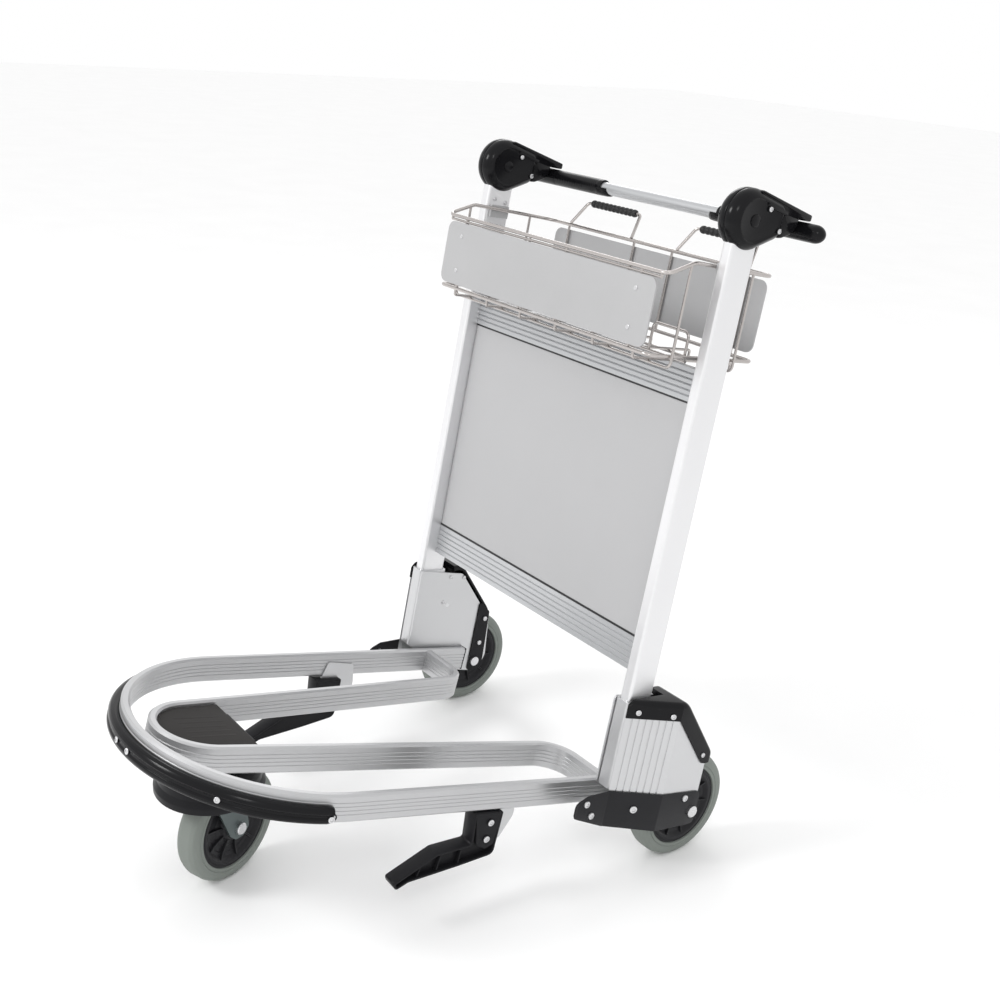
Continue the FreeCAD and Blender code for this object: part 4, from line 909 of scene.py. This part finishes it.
def make_screw_heads():
    """Domed socket heads over the plain CAD screws."""
    form = Form()
    for node in ("frame_screws", "housing_screws"):
        for points in islands(node):
            middle, axis, radius, height = turned_axis(points)
            at = middle + axis * ((height - 0.6) * MM)
            r = radius * 0.99
            dome = [(r, 0), (r * 0.99, 0.7), (r * 0.88, 1.25), (r * 0.62, 1.5), (r * 0.5, 1.5)]
            socket = [(r * 0.5, 1.5), (r * 0.46, 0.7), (0, 0.7)]
            form.lathe(dome, at, axis, 28)
            form.lathe(socket, at, axis, 6)
    form.piece("screw_heads", "plated_steel", "frame", (), 40)


def make_lock():
    """Key lock of the panel: a bezel round a sunk barrel."""
    lo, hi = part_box("panel_lock")
    middle = (lo + hi) / 2
    at = Vector((hi.x, middle.y, middle.z))
    barrel = [(5.4, -3.8), (5.4, -0.7), (4.9, -0.15), (3.9, -0.1), (3.6, -0.9), (0, -0.9)]
    form = Form()
    form.lathe(barrel, at, Vector((1, 0, 0)), 36)
    form.piece("panel_lock_look", "plated_steel", "frame", ["panel_lock"])


# ---------------------------------------------------------------- eased edges on CAD pieces
# bevel widths in millimetres
EASED = {"rail_end_caps": 0.8, "caster_mount": 1.2, "caster_fork": 0.7, "upright_sleeves": 0.5,
         "brake_shoe_left": 1.0, "brake_shoe_right": 1.0, "basket_brackets": 0.5, "ad_panel": 0.5}


def ease_edges():
    for name, width in EASED.items():
        node = frame["nodes"][name]
        if "custom_normal" in node.data.attributes:
            node.data.attributes.remove(node.data.attributes["custom_normal"])
        node.data.shade_smooth()
        weld = node.modifiers.new("weld", "WELD")
        weld.merge_threshold = 0.00001
        bevel = node.modifiers.new("bevel", "BEVEL")
        bevel.width = width * MM
        bevel.segments = 2
        bevel.limit_method = "ANGLE"
        bevel.angle_limit = math.radians(40)
        node.modifiers.new("normals", "WEIGHTED_NORMAL")


make_wheels()
make_housings()
make_grips()
make_bumper()
make_screw_cups()
make_bowl()
make_nose_plate()
make_feet()
make_pod_covers()
make_pod_brackets()
make_screw_heads()
make_lock()
ease_edges()


# ---------------------------------------------------------------- stage and camera
def make_floor():
    bpy.ops.mesh.primitive_plane_add(size=40)
    floor = bpy.context.object
    floor.name = "studio_floor"
    mat, tree, shader = new_material("studio_floor")
    fine = noise(tree, texture_space(tree, (1, 1, 1)), 3.0)
    tint = ramp(tree, fine, (0.955, 0.955, 0.955), (0.975, 0.975, 0.975))
    tree.links.new(tint, shader.inputs["Base Color"])
    shader.inputs["Roughness"].default_value = 0.9
    floor.data.materials.append(mat)


def area_light(name, at, target, size, watts):
    data = bpy.data.lights.new(name, "AREA")
    data.shape = "DISK"
    data.size = size
    data.energy = watts
    lamp = bpy.data.objects.new(name, data)
    bpy.context.scene.collection.objects.link(lamp)
    lamp.location = at
    lamp.rotation_euler = (Vector(target) - Vector(at)).to_track_quat("-Z", "Y").to_euler()


def make_lights():
    world = bpy.data.worlds.new("studio")
    bpy.context.scene.world = world
    world.use_nodes = True
    back = world.node_tree.nodes["Background"]
    back.inputs["Color"].default_value = (1.0, 1.0, 1.0, 1)
    back.inputs["Strength"].default_value = 1.0
    aim = (0, 0, 0.45)
    area_light("key", (-1.2, -3.4, 3.0), aim, 1.2, 60)
    area_light("rim", (2.6, -2.4, 3.4), aim, 0.8, 14)
    area_light("fill", (-2.6, 2.2, 2.6), aim, 1.4, 12)


def make_camera():
    """Three-quarter view from the front left, above the basket."""
    data = bpy.data.cameras.new("camera")
    data.sensor_width = 36.0
    data.lens = 47.88
    camera = bpy.data.objects.new("camera", data)
    bpy.context.scene.collection.objects.link(camera)
    eye = mm(1569.4, -1429.6, 1274.3)
    target = mm(-52.4, -134.1, 516.4)
    roll = 0.080
    ahead = (target - eye).normalized()
    right = ahead.cross(Vector((0, 0, 1))).normalized()
    up = right.cross(ahead)
    c, s = math.cos(roll), math.sin(roll)
    right, up = right * c + up * s, up * c - right * s
    turn = Matrix((right, up, -ahead)).transposed()
    camera.matrix_world = Matrix.Translation(eye) @ turn.to_4x4()
    bpy.context.scene.camera = camera
    bpy.context.scene.view_settings.view_transform = "Standard"


make_floor()
make_lights()
make_camera()
